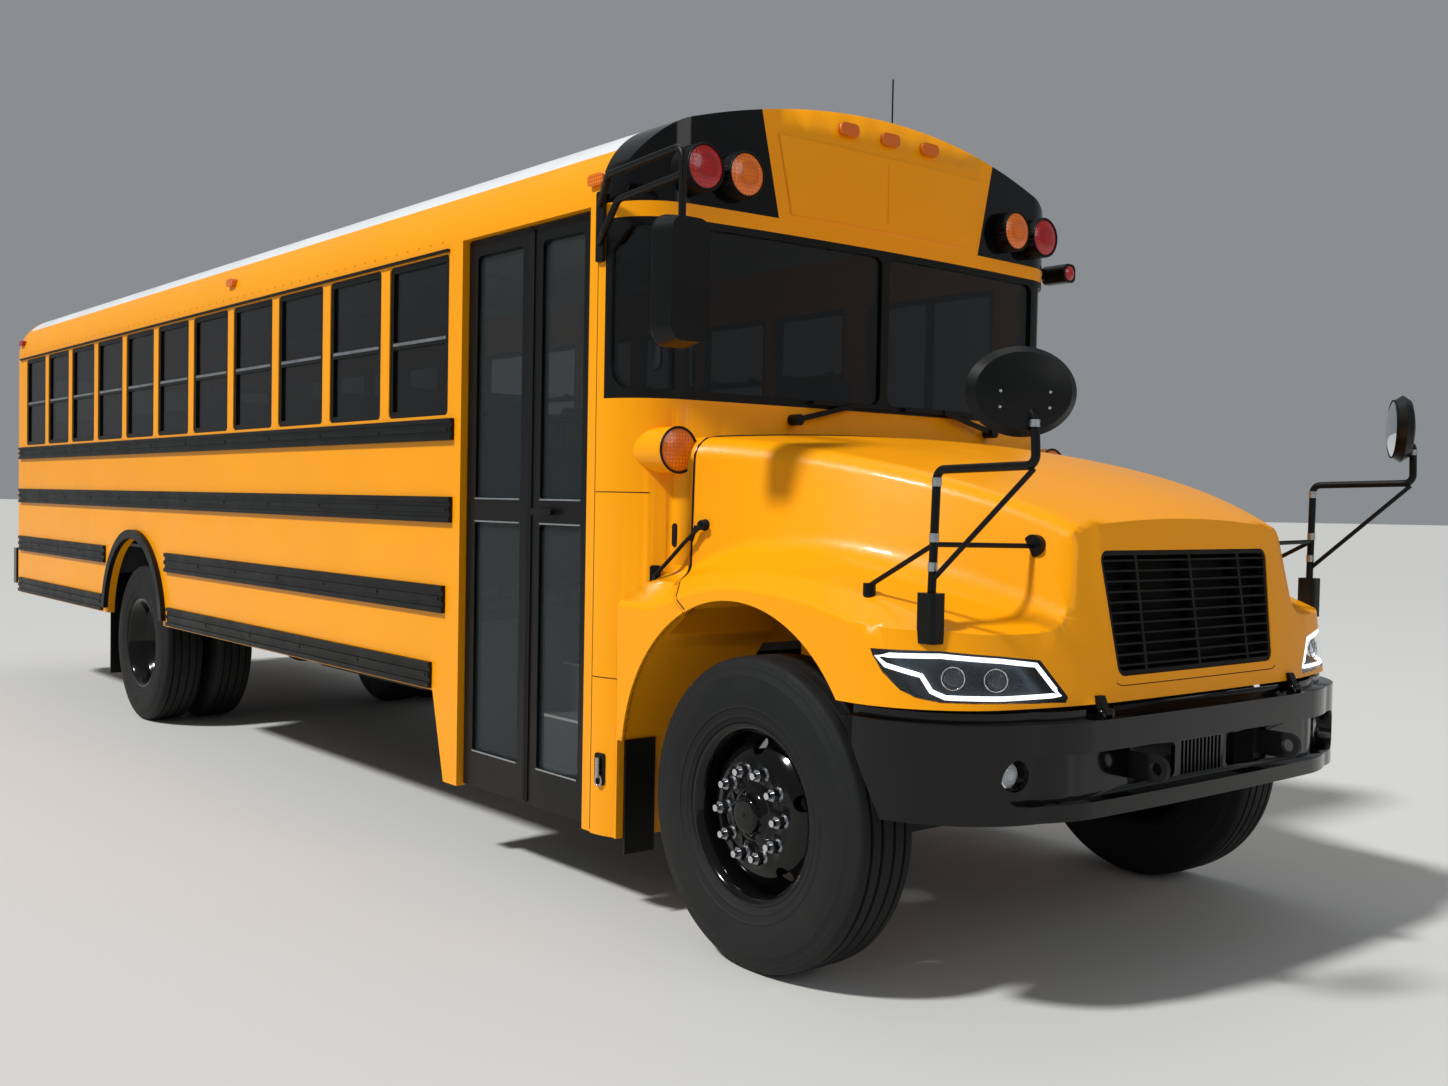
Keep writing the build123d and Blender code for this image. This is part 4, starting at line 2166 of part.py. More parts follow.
# Antenna whip and the short lamp arm on the driver's corner
antenna_y = 150.0
antenna_x = front_axle_x - 720.0
antenna_top_z = 3345.0
left_lamp = (front_axle_x - 690.0, body_half + 120.0, 2668.0)
left_lamp_radius = 44.0
with BuildPart() as cap_fittings:
    with BuildSketch(Plane.XY.offset(crown_z + crown_radius - 40)):
        with Locations((antenna_x, antenna_y)):
            Circle(22)
    extrude(amount=60)
    with BuildSketch(Plane.XY.offset(crown_z + crown_radius)):
        with Locations((antenna_x, antenna_y)):
            Circle(3.5)
    extrude(amount=antenna_top_z - crown_z - crown_radius)
    add(cab_full, mode=Mode.SUBTRACT)
    with BuildSketch(Plane.XZ.offset(-(body_half - 70))):
        with Locations((left_lamp[0] - 110, left_lamp[2] + 16), (left_lamp[0] - 110, left_lamp[2] - 24)):
            Circle(9)
    extrude(amount=-190)
    with BuildSketch(Plane.YZ.offset(left_lamp[0] - 126)):
        with Locations((left_lamp[1], left_lamp[2] - 4)):
            RectangleRounded(2 * left_lamp_radius, 2 * left_lamp_radius, 30)
    extrude(amount=130)
    add(cab_full, mode=Mode.SUBTRACT)

# Wipers, parked along the foot of the windshield
wiper_spots = (
    dict(pivot_y=-497.0, reach=320.0),
    dict(pivot_y=663.0, reach=-320.0),
)
wiper_z = 1873.0
blade_z = 1946.0
blade_length = 470.0
with BuildPart() as wipers:
    for spot in wiper_spots:
        with BuildSketch(Plane.YZ.offset(plan_front_x - 40)):
            with Locations((spot["pivot_y"], wiper_z)):
                Circle(22)
        extrude(amount=40 + 40)
        with BuildSketch(Plane.YZ.offset(plan_front_x + 16)):
            with BuildLine():
                Polyline(
                    (spot["pivot_y"], wiper_z - 10),
                    (spot["pivot_y"], wiper_z + 12),
                    (spot["pivot_y"] + spot["reach"], blade_z + 10),
                    (spot["pivot_y"] + spot["reach"], blade_z - 8),
                    close=True,
                )
            make_face()
        extrude(amount=14)
        with BuildSketch(Plane.YZ.offset(plan_front_x + 4)):
            with Locations((spot["pivot_y"] + spot["reach"], blade_z)):
                SlotOverall(blade_length, 16)
        extrude(amount=20)
    add(cab_full, mode=Mode.SUBTRACT)

# Pieces of one body and one material that are kept as one sub-part
joined_pieces = (
    dict(name="window_frames", pieces=(windshield_band, window_frames)),
    dict(name="fixed_glass", pieces=(windshield_glass, window_glass)),
    dict(name="body_trim", pieces=(rub_rails, arch_trims, stop_base)),
    dict(name="outside_fittings", pieces=(door_mirror, cap_fittings, wipers)),
    dict(name="seats", pieces=(benches, bench_legs, driver_seat)),
    dict(name="cab_fittings", pieces=(dashboard, grab_rails)),
    dict(name="powertrain", pieces=(powertrain, exhaust)),
)
for row in joined_pieces:
    with BuildPart() as joined:
        for piece in row["pieces"]:
            add(piece.part)
    save(joined.part, row["name"])
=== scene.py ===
"""A school bus, dressed: enamel, glass, rubber, lamps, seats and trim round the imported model."""

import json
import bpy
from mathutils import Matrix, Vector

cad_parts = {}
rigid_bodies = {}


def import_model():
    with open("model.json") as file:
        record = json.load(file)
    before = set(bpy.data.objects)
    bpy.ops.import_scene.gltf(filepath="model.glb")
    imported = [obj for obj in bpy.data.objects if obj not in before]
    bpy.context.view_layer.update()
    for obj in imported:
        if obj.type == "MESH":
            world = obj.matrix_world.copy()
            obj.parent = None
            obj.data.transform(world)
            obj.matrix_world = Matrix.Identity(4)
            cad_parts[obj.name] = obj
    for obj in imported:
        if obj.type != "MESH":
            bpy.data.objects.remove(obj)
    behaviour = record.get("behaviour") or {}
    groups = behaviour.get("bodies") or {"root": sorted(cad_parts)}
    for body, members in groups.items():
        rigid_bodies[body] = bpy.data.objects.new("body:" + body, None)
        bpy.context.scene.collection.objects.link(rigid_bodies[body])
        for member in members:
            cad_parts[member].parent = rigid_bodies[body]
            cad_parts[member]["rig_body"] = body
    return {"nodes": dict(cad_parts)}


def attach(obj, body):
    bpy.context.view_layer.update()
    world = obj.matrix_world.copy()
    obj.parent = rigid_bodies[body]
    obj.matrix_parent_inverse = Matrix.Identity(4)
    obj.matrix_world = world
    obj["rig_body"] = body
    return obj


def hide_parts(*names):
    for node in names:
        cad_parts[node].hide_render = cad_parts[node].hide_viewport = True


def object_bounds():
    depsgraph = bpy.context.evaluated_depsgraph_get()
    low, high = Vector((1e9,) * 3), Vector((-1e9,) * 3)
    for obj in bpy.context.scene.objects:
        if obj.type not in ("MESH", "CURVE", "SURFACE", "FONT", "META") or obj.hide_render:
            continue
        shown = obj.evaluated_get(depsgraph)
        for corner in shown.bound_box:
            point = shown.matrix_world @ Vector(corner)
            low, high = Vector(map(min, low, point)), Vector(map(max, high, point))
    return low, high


bl_info = {
    "name": "School Bus Dresser",
    "version": (1, 0, 0),
    "blender": (4, 5, 0),
    "location": "3D View > Sidebar > School Bus",
    "description": "Paints a school bus and adds its tyres, lamps, seats, rivets and small trim",
    "category": "Object",
}

from math import atan2, cos, hypot, pi, radians, sin, tan

import bmesh
import bpy
from bpy.props import FloatProperty, FloatVectorProperty, PointerProperty
from mathutils import Matrix, Vector
from mathutils.bvhtree import BVHTree

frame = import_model()
packed_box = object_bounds()

# Places that the pieces share, in metres, in the model's own frame
front_axle_x = 4.262
rear_axle_x = -2.138
wheel_z = 0.522
body_half = 1.219
SIDES = (-1, 1)
UP = Vector((0, 0, 1))
FINISH = {}


def linear(code):
    """Turns an sRGB hex code into the linear colour that shaders and light take."""
    values = [int(code[i : i + 2], 16) / 255 for i in (0, 2, 4)]
    values = [v / 12.92 if v <= 0.04045 else ((v + 0.055) / 1.055) ** 2.4 for v in values]
    return (*values, 1.0)


def side_name(side):
    return "right" if side < 0 else "left"


def at(x, y, z):
    """A point by its distance ahead of the front axle, its distance left, and its height."""
    return Vector((front_axle_x + x, y, z))


# Sizes and colours that a user would change


def colour(name, description, code):
    return FloatVectorProperty(
        name=name,
        description=description,
        subtype="COLOR",
        size=4,
        min=0,
        max=1,
        default=linear(code),
    )


def length(name, description, value):
    return FloatProperty(
        name=name,
        description=description,
        subtype="DISTANCE",
        unit="LENGTH",
        default=value,
        min=0.0005,
        max=20.0,
    )


def strength(name, description, value):
    return FloatProperty(name=name, description=description, default=value, min=0)


class BUS_PG_paint(bpy.types.PropertyGroup):
    body: colour("Body", "Gloss enamel of the coachwork", "F59E00")
    roof: colour("Roof", "White enamel that keeps the roof cool", "DDE0E1")
    trim: colour("Trim", "Black enamel of the bumpers, wheels and lamp panels", "060607")
    roof_line: length("Roof line", "Height where yellow gives way to white", 2.86)
    cap_foot: length("Cap foot", "Height of the foot of the black lamp panels", 2.645)


class BUS_PG_tyres(bpy.types.PropertyGroup):
    rubber: colour("Rubber", "Road tyre compound", "151617")
    groove_depth: length("Groove depth", "Depth of the tread grooves", 0.014)
    groove_width: length("Groove width", "Width of the tread grooves", 0.011)


class BUS_PG_lamps(bpy.types.PropertyGroup):
    amber: colour("Amber", "Amber lenses", "F0760A")
    red: colour("Red", "Red lenses", "B80C10")
    tube: colour("Light tube", "White tube round each headlamp", "F4F8FF")


class BUS_PG_rivets(bpy.types.PropertyGroup):
    radius: length("Rivet radius", "Radius of a rivet's head", 0.0065)
    pitch: length("Rivet pitch", "Distance from rivet to rivet", 0.11)


class BUS_PG_stage(bpy.types.PropertyGroup):
    floor: colour("Floor", "Pale studio floor", "C6C6C2")
    key: strength("Key light", "Strength of the key light", 3.4)
    soft: strength("Soft lights", "Power of the two soft lights", 260.0)
    fill: strength("Fill", "Strength of the room's light", 0.33)


# Finishes


def add_node(tree, kind, inputs=(), **settings):
    """Adds a node. Its inputs, by name or number, are values or another node's socket."""
    node = tree.nodes.new(kind)
    for name, value in settings.items():
        setattr(node, name, value)
    for key, value in dict(inputs).items():
        if isinstance(value, bpy.types.NodeSocket):
            tree.links.new(value, node.inputs[key])
        else:
            node.inputs[key].default_value = value
    return node


def maths(tree, operation, first, second):
    return add_node(tree, "ShaderNodeMath", {0: first, 1: second}, operation=operation).outputs[0]


def new_finish(name):
    """A new material: (material, tree, Object coordinates)."""
    material = bpy.data.materials.new(name)
    material.use_nodes = True
    tree = material.node_tree
    tree.nodes.clear()
    return material, tree, add_node(tree, "ShaderNodeTexCoord").outputs["Object"]


def shaded(material, inputs):
    """Ends a material in a Principled shader."""
    tree = material.node_tree
    shader = add_node(tree, "ShaderNodeBsdfPrincipled", inputs)
    add_node(tree, "ShaderNodeOutputMaterial", {"Surface": shader.outputs[0]})
    return material


def noise(tree, place, spacing, detail=3.0):
    """Noise whose main spacing is a real size in metres."""
    inputs = {"Vector": place, "Scale": 1 / spacing, "Detail": detail}
    return add_node(tree, "ShaderNodeTexNoise", inputs).outputs[0]


def spread(tree, source, low, high, first=0.3, last=0.7):
    """Maps a value that runs from first to last onto low to high."""
    inputs = {"Value": source, "From Min": first, "From Max": last, "To Min": low, "To Max": high}
    return add_node(tree, "ShaderNodeMapRange", inputs).outputs[0]


def tinted(tree, shade, first, second):
    """Mixes two colours by a value. A colour is four numbers or another node's socket."""
    inputs = {0: shade, 6: first, 7: second}
    return add_node(tree, "ShaderNodeMix", inputs, data_type="RGBA").outputs[2]


def darker(shade, share):
    return (*(c * share for c in shade[:3]), 1.0)


def bumped(tree, height, depth):
    inputs = {"Strength": 1.0, "Distance": depth, "Height": height}
    return add_node(tree, "ShaderNodeBump", inputs).outputs[0]


def road_dust(tree, place, top, most):
    """How dusty a point is: patchy, up to the share of most by the ground, and clean at the top."""
    height = add_node(tree, "ShaderNodeSeparateXYZ", {0: place}).outputs[2]
    low = spread(tree, height, 1.0, 0.0, 0.25, top)
    patchy = spread(tree, noise(tree, place, 0.35, 5.0), 0.35, 1.0)
    return spread(tree, maths(tree, "MULTIPLY", low, patchy), 0.0, most, 0.0, 1.0)


def enamel(name, shade, roughness=0.34, film=0.04, coat=0.10, sheen=0.2):
    """Sprayed gloss enamel under clear coat: deep colour, sharp highlight, panels a little wavy."""
    material, tree, place = new_finish(name)
    patches = spread(tree, noise(tree, place, 0.9, 2.0), 0.0, 1.0)
    paint = tinted(tree, patches, darker(shade, 0.955), shade)
    gloss = noise(tree, place, 0.25, 4.0)
    inputs = {
        "Base Color": tinted(tree, road_dust(tree, place, 0.9, film), paint, linear("8E7E62")),
        "Roughness": spread(tree, gloss, roughness * 0.85, roughness * 1.2),
        "Normal": bumped(tree, noise(tree, place, 0.4, 1.5), 0.0015),
        "IOR": 1.45,
        "Specular IOR Level": sheen,
        "Coat Weight": coat,
        "Coat Roughness": 0.05,
    }
    return shaded(material, inputs)


def moulded(name, code, roughness=0.5, grain=0.004, depth=0.0002, dust=1.1):
    """Moulded ABS or powder coat: fine grain that breaks up the highlight, dusty below."""
    material, tree, place = new_finish(name)
    film = road_dust(tree, place, dust, 0.06)
    gloss = noise(tree, place, 0.12, 4.0)
    inputs = {
        "Base Color": tinted(tree, film, linear(code), linear("6E675C")),
        "Roughness": spread(tree, gloss, roughness * 0.9, roughness * 1.15),
        "Normal": bumped(tree, noise(tree, place, grain, 2.0), depth),
        "IOR": 1.48,
        "Specular IOR Level": 0.2,
    }
    return shaded(material, inputs)


def rubber(name, shade, dust=0.8):
    """Vulcanised rubber: dull black that greys where dust and wear sit."""
    material, tree, place = new_finish(name)
    cloud = spread(tree, noise(tree, place, 0.06, 6.0), 0.0, 1.0)
    base = tinted(tree, cloud, darker(shade, 0.8), darker(shade, 1.35))
    inputs = {
        "Base Color": tinted(tree, road_dust(tree, place, dust, 0.06), base, linear("6B665E")),
        "Roughness": spread(tree, cloud, 0.62, 0.8, 0.0, 1.0),
        "Normal": bumped(tree, noise(tree, place, 0.003, 3.0), 0.0003),
        "IOR": 1.5,
        "Specular IOR Level": 0.22,
    }
    return shaded(material, inputs)


def glazing(name, code, cover):
    """Tempered sheet glass, tinted in the mass: a sharp reflection over a darkened view behind.
    The tint is laid on as partial cover, so daylight still reaches the seats."""
    material, tree, place = new_finish(name)
    smear = spread(tree, noise(tree, place, 0.3, 5.0), 0.01, 0.04)
    return shaded(
        material, {"Base Color": linear(code), "Alpha": cover, "IOR": 1.5, "Roughness": smear}
    )


def metal(name, code, roughness, spacing=0.05):
    """Plated or bare metal: roughness varies where hands and road film touch it."""
    material, tree, place = new_finish(name)
    cloud = spread(tree, noise(tree, place, spacing, 4.0), 0.0, 1.0)
    inputs = {
        "Metallic": 1.0,
        "Base Color": tinted(tree, cloud, darker(linear(code), 0.85), linear(code)),
        "Roughness": spread(tree, cloud, roughness * 0.8, roughness * 1.4, 0.0, 1.0),
    }
    return shaded(material, inputs)


def lens(name, shade, glow, cell=0.014):
    """Moulded polycarbonate lens: clear colour over a grid of small optic cells."""
    material, tree, place = new_finish(name)
    grid = {"Vector": place, "Scale": 1 / cell, "Randomness": 0.0}
    look = {"feature": "F1", "distance": "CHEBYCHEV"}
    cells = add_node(tree, "ShaderNodeTexVoronoi", grid, **look).outputs[0]
    deep = spread(tree, cells, 0.0, 1.0, 0.1, 0.6)
    inputs = {
        "Base Color": tinted(tree, deep, shade, darker(shade, 0.3)),
        "Roughness": 0.18,
        "Normal": bumped(tree, cells, 0.0012),
        "IOR": 1.58,
        "Specular IOR Level": 0.3,
        "Coat Weight": 0.4,
        "Coat Roughness": 0.03,
        "Emission Color": shade,
        "Emission Strength": glow,
    }
    return shaded(material, inputs)


def finishes():
    """Makes each finish once, by the name that the pieces use."""
    scene = bpy.context.scene
    body, roof, trim = (tuple(getattr(scene.bus_paint, key)) for key in ("body", "roof", "trim"))
    amber, red, tube = (tuple(getattr(scene.bus_lamps, key)) for key in ("amber", "red", "tube"))
    return {
        "body": enamel("bus_yellow_enamel", body),
        "roof": enamel("white_roof_enamel", roof, 0.3, 0.02),
        "black": enamel("black_gloss_enamel", trim, 0.12, 0.008, 0.2, 0.22),
        "handrail": enamel("white_handrail_coat", linear("DCDDD8"), 0.35, 0.02),
        "stop_red": enamel("red_sign_sheet", linear("B3131B"), 0.3, 0.02),
        "stop_white": enamel("white_sign_sheet", linear("E8E8E6"), 0.3, 0.02),
        "rail": moulded("black_rail_enamel", "08090A", 0.42, 0.01, 0.0003),
        "powder": moulded("black_powder_coat", "070808", 0.38),
        "plastic": moulded("black_moulded_plastic", "090A0B", 0.5, 0.003, 0.0004),
        "chassis": moulded("black_chassis_paint", "141415", 0.55, 0.006, 0.0005),
        "iron": moulded("cast_iron_primer", "2A2A2C", 0.6, 0.004, 0.0008),
        "screen": moulded("woven_insect_screen", "050506", 0.7, 0.003, 0.0005, 0.2),
        "floor": moulded("ribbed_rubber_floor", "56585A", 0.7, 0.006, 0.0006, 0.4),
        "vinyl": moulded("seat_vinyl", "26303A", 0.48, 0.0035, 0.0006, 0.2),
        "rubber": rubber("tyre_rubber", tuple(scene.bus_tyres.rubber)),
        # Black seal rubber, also used for the painted shade line in the crease under the grille
        "seal": rubber("moulded_seal_rubber", linear("0A0A0B"), 0.3),
        "side_glass": glazing("tinted_side_glass", "0A0D0F", 0.62),
        "door_glass": glazing("clear_door_glass", "3A4244", 0.24),
        "clear": glazing("clear_polycarbonate", "8C9194", 0.04),
        "projector": glazing("projector_glass", "39424A", 0.5),
        "chrome": metal("chrome_plate", "D6D9DC", 0.08),
        "nut_steel": metal("oiled_nut_steel", "96979A", 0.26),
        "bright": metal("anodised_aluminium", "B9BDC0", 0.3),
        "bucket": metal("smoked_lamp_reflector", "3C444B", 0.26),
        "mirror": metal("silvered_mirror_glass", "E6EAEC", 0.02, 0.4),
        "amber": lens("amber_polycarbonate", amber, 0.12),
        "red": lens("red_polycarbonate", red, 0.10),
        "reflector": lens("white_polycarbonate", linear("E4E7E6"), 0.1),
        "fog": lens("ribbed_fog_glass", linear("B9C2C6"), 0.15, 0.008),
        "tube": lens("white_light_tube", tube, 1.6),
    }


# Mesh helpers


def body_of(node):
    return frame["nodes"][node]["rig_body"]


def merged(node):
    """A copy of a node's mesh with its loose triangles joined."""
    bm = bmesh.new()
    bm.from_mesh(frame["nodes"][node].data)
    bmesh.ops.remove_doubles(bm, verts=bm.verts, dist=2e-5)
    return bm


def surface(node):
    """A node's surface, for finding where things land on it."""
    bm = merged(node)
    tree = BVHTree.FromBMesh(bm)
    bm.free()
    return tree


def landed(tree, start, way):
    """Where a straight line from start first meets a surface."""
    hit = tree.ray_cast(Vector(start), Vector(way).normalized())[0]
    if hit is None:
        raise RuntimeError("no surface under " + str(tuple(start)))
    return hit


def placed(name, mesh, body, angle, replaced=()):
    """Makes a mesh an object, smooth up to an angle, that rides on a body."""
    mesh.polygons.foreach_set("use_smooth", [True] * len(mesh.polygons))
    mesh.set_sharp_from_angle(angle=radians(angle))
    obj = bpy.data.objects.new(name, mesh)
    bpy.context.scene.collection.objects.link(obj)
    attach(obj, body)
    if replaced:
        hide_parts(*replaced)
    return obj


def piece(name, bm, mats, body, replaced=(), angle=28.0):
    """Makes a built mesh an object with its finishes."""
    mesh = bpy.data.meshes.new(name)
    bm.to_mesh(mesh)
    bm.free()
    for mat in mats:
        mesh.materials.append(FINISH[mat])
    return placed(name, mesh, body, angle, replaced)


def recoated(name, node, bm, mats, angle=28.0):
    """Puts a smooth copy of a node in its place. Large faces lead its shading, so flat panels
    stay flat beside their rounded edges."""
    obj = piece(name, bm, mats, body_of(node), [node], angle)
    modifier = obj.modifiers.new("even_shading", "WEIGHTED_NORMAL")
    modifier.keep_sharp = True
    modifier.weight = 50


def walled(obj, thickness):
    """Gives a bare surface a thickness."""
    wall = obj.modifiers.new("wall", "SOLIDIFY")
    wall.thickness = thickness


def round_through(first, second, third):
    """The centre and radius of the circle through three points of a plan."""
    a, b = second - first, third - first
    turn = 2 * (a.x * b.y - a.y * b.x)
    heart = Vector((b.y * a.dot(a) - a.y * b.dot(b), a.x * b.dot(b) - b.x * a.dot(a)))
    centre = first + heart / turn
    return centre, (centre - first).length


def swept(obj, plan, insets):
    """Gives upright walls the normals of the arcs in their plan, because the mesh has facets.
    Each point of the plan is (ahead of the axle, aside, its share of an inset aside)."""
    arcs = []
    for inset in insets:
        for side in SIDES:
            points = [at(x - inset, side * (y - inset * share), 0).xy for x, y, share in plan]
            nose = points.pop()
            arcs += [round_through(*points[:3]), round_through(*points[2:])]
        if not inset:
            arcs.append(round_through(points[-1], nose, Vector((points[-1].x, -points[-1].y))))
    mesh = obj.data
    normals = [Vector(corner.vector) for corner in mesh.corner_normals]
    for face in mesh.polygons:
        for k in face.loop_indices:
            spot = mesh.vertices[mesh.loops[k].vertex_index].co.xy
            found = Vector()
            for centre, radius in arcs:
                away = (spot - centre).normalized().to_3d()
                along = away.dot(face.normal)
                if abs((spot - centre).length - radius) < 0.0006 and abs(along) > 0.9:
                    found += away if along > 0 else -away
            if found.length:
                normals[k] = found.normalized()
    mesh.normals_split_custom_set(normals)


def parted(bm, point, normal):
    """Cuts a mesh along a plane and keeps both sides."""
    whole = bm.verts[:] + bm.edges[:] + bm.faces[:]
    bmesh.ops.bisect_plane(bm, geom=whole, plane_co=point, plane_no=normal, dist=1e-6)


def islands(bm):
    """Groups of faces that hang together."""
    seen, groups = set(), []
    for start in bm.faces:
        if start in seen:
            continue
        seen.add(start)
        stack, group = [start], []
        while stack:
            face = stack.pop()
            group.append(face)
            for other in (other for edge in face.edges for other in edge.link_faces):
                if other not in seen:
                    seen.add(other)
                    stack.append(other)
        groups.append(group)
    return groups


def middle(faces):
    """The middle and the size of the box round some faces."""
    corners = [v.co for f in faces for v in f.verts]
    low = Vector([min(c[k] for c in corners) for k in range(3)])
    high = Vector([max(c[k] for c in corners) for k in range(3)])
    return (low + high) / 2, high - low


def skinned(bm, rows, index=0, around=True, joined=False, flip=False):
    """Faces between rows of points: around closes each row, joined the last row to the first."""
    rows = [[bm.verts.new(point) for point in row] for row in rows]
    count = len(rows[0])
    for low, high in zip(rows, rows[1:] + rows[:1] if joined else rows[1:]):
        for k in range(count if around else count - 1):
            far = (k + 1) % count
            corners = (low[k], low[far], high[far], high[k])
            bm.faces.new(corners[::-1] if flip else corners).material_index = index
    return rows


def oval(centre, across, upward, radii, steps):
    """Points round an oval: its centre, two unit directions and two radii."""
    turns = [2 * pi * step / steps for step in range(steps)]
    return [
        centre + across * radii[0] * cos(turn) + upward * radii[1] * sin(turn) for turn in turns
    ]


def lathe(bm, profile, centre, side, steps):
    """Turns a closed profile of (radius, outward) pairs about a wheel's axle."""
    rows = []
    for step in range(steps):
        turn = 2 * pi * step / steps
        rows.append(
            [centre + Vector((r * cos(turn), side * out, r * sin(turn))) for r, out in profile]
        )
    skinned(bm, rows, joined=True, flip=side > 0)


def dome(bm, centre, across, upward, radii, rise, steps=32, rings=5, index=0, power=2.0):
    """A shallow crown on an oval: its foot's centre, two unit directions, two radii and a rise."""
    normal = across.cross(upward)
    rows = []
    for k in range(rings):
        share = 1 - k / rings
        foot = centre + normal * rise * (1 - share**power)
        rows.append(oval(foot, across, upward, (radii[0] * share, radii[1] * share), steps))
    last = skinned(bm, rows, index)[-1]
    top = bm.verts.new(centre + normal * rise)
    for k in range(steps):
        bm.faces.new((last[k], last[(k + 1) % steps], top)).material_index = index


def ring(bm, centre, across, upward, radii, thick, steps=32, sides=6, index=0):
    """A round bead laid on an oval."""
    normal = across.cross(upward)
    rows = []
    for out in oval(Vector(), across, upward, radii, steps):
        rows.append(oval(centre + out, out.normalized(), normal, (thick, thick), sides))
    skinned(bm, rows, index, joined=True)


def capped(bm, first, last, index):
    """Closes both ends of a skin with flat faces."""
    bm.faces.new(first).material_index = index
    bm.faces.new(last).material_index = index


def bead(bm, line, radius, sides=8, closed=False, index=0):
    """A round bar that follows a line of points."""
    rows = []
    count = len(line)
    for k, point in enumerate(line):
        ahead = line[(k + 1) % count] if closed or k < count - 1 else point
        behind = line[k - 1] if closed or k > 0 else point
        along = (ahead - behind).normalized()
        guide = UP if abs(along.z) < 0.9 else Vector((1, 0, 0))
        first = along.cross(guide).normalized()
        rows.append(oval(point, first, along.cross(first), (radius, radius), sides))
    rows = skinned(bm, rows, index, joined=closed, flip=True)
    if not closed:
        capped(bm, rows[0], rows[-1][::-1], index)


def plate(bm, outline, centre, across, upward, thick, index=0):
    """A flat plate with a narrow bevel. Its outline is (across, up) pairs round its centre."""
    normal = across.cross(upward)
    rows = []
    for share, lift in ((1.0, 0.0), (1.0, 0.7), (0.985, 1.0)):
        level = centre + normal * thick * lift
        rows.append([level + across * u * share + upward * v * share for u, v in outline])
    rows = skinned(bm, rows, index)
    capped(bm, rows[-1], rows[0][::-1], index)


def rounded(width, height, corner, steps=7):
    """The outline of a rounded rectangle."""
    outline = []
    for k, (u, v) in enumerate(((1, -1), (1, 1), (-1, 1), (-1, -1))):
        heart = (u * (width / 2 - corner), v * (height / 2 - corner))
        for step in range(steps + 1):
            turn = radians(-90 + 90 * k + 90 * step / steps)
            outline.append((heart[0] + corner * cos(turn), heart[1] + corner * sin(turn)))
    return outline


def regular(count, flat):
    """The outline of a regular figure that stands on a side, by the distance across its flats."""
    reach = flat / 2 / cos(pi / count)
    turns = [2 * pi * (k + 0.5) / count for k in range(count)]
    return [(reach * cos(turn), reach * sin(turn)) for turn in turns]


# Geometry trees


def new_tree(name, sizes):
    """A geometry tree with its named inputs: (tree, the inputs' sockets, output node)."""
    tree = bpy.data.node_groups.new(name, "GeometryNodeTree")
    sockets = tree.interface
    sockets.new_socket("Geometry", in_out="INPUT", socket_type="NodeSocketGeometry")
    for label, value in sizes.items():
        kind = "NodeSocketVector" if isinstance(value, tuple) else "NodeSocketFloat"
        sockets.new_socket(label, in_out="INPUT", socket_type=kind).default_value = value
    sockets.new_socket("Material", in_out="INPUT", socket_type="NodeSocketMaterial")
    sockets.new_socket("Geometry", in_out="OUTPUT", socket_type="NodeSocketGeometry")
    return tree, tree.nodes.new("NodeGroupInput").outputs, tree.nodes.new("NodeGroupOutput")


def planted(tree, given, taken, copy):
    """Plants a copy on each point, turned to face its way, then realises it and paints it."""
    facing = add_node(
        tree, "GeometryNodeInputNamedAttribute", {"Name": "facing"}, data_type="FLOAT_VECTOR"
    )
    turn = add_node(
        tree, "FunctionNodeAlignRotationToVector", {"Vector": facing.outputs[0]}, axis="Z"
    )
    spots = {"Points": given["Geometry"], "Instance": copy, "Rotation": turn.outputs[0]}
    plant = add_node(tree, "GeometryNodeInstanceOnPoints", spots)
    real = add_node(tree, "GeometryNodeRealizeInstances", {0: plant.outputs[0]})
    coat = {"Geometry": real.outputs[0], "Material": given["Material"]}
    tree.links.new(add_node(tree, "GeometryNodeSetMaterial", coat).outputs[0], taken.inputs[0])


def rivet_tree():
    """Low domed rivet heads."""
    tree, given, taken = new_tree("rivet_heads", {"Radius": 0.006})
    sizes = {"Segments": 8, "Rings": 5, "Radius": given["Radius"]}
    ball = add_node(tree, "GeometryNodeMeshUVSphere", sizes)
    low = {"Geometry": ball.outputs[0], "Scale": (1, 1, 0.5)}
    planted(tree, given, taken, add_node(tree, "GeometryNodeTransform", low).outputs[0])
    return tree


def nut_tree():
    """Wheel nuts: a hexagon, its washer and the stud that stands out of it."""
    sizes = {"Across": 0.02, "Height": 0.03, "Stud": 0.011, "Reach": 0.05}
    tree, given, taken = new_tree("wheel_nuts", sizes)
    parts = []
    for count, radius, height in ((6, "Across", "Height"), (16, "Stud", "Reach")):
        sizes = {"Vertices": count, "Radius": given[radius], "Depth": given[height]}
        rod = add_node(tree, "GeometryNodeMeshCylinder", sizes)
        half = maths(tree, "MULTIPLY", given[height], 0.5)
        lift = add_node(tree, "ShaderNodeCombineXYZ", {2: half})
        stood = {"Geometry": rod.outputs[0], "Translation": lift.outputs[0]}
        parts.append(add_node(tree, "GeometryNodeTransform", stood).outputs[0])
    cone = {"Vertices": 20, "Radius Top": 0.019, "Radius Bottom": 0.025, "Depth": 0.008}
    parts.append(add_node(tree, "GeometryNodeMeshCone", cone).outputs[0])
    whole = tree.nodes.new("GeometryNodeJoinGeometry")
    for part in parts:
        tree.links.new(part, whole.inputs[0])
    planted(tree, given, taken, whole.outputs[0])
    return tree


def box_tree():
    """Plain boxes, for bars, legs and blocks."""
    tree, given, taken = new_tree("blocks", {"Size": (0.1, 0.1, 0.1)})
    box = add_node(tree, "GeometryNodeMeshCube", {"Size": given["Size"]})
    planted(tree, given, taken, box.outputs[0])
    return tree


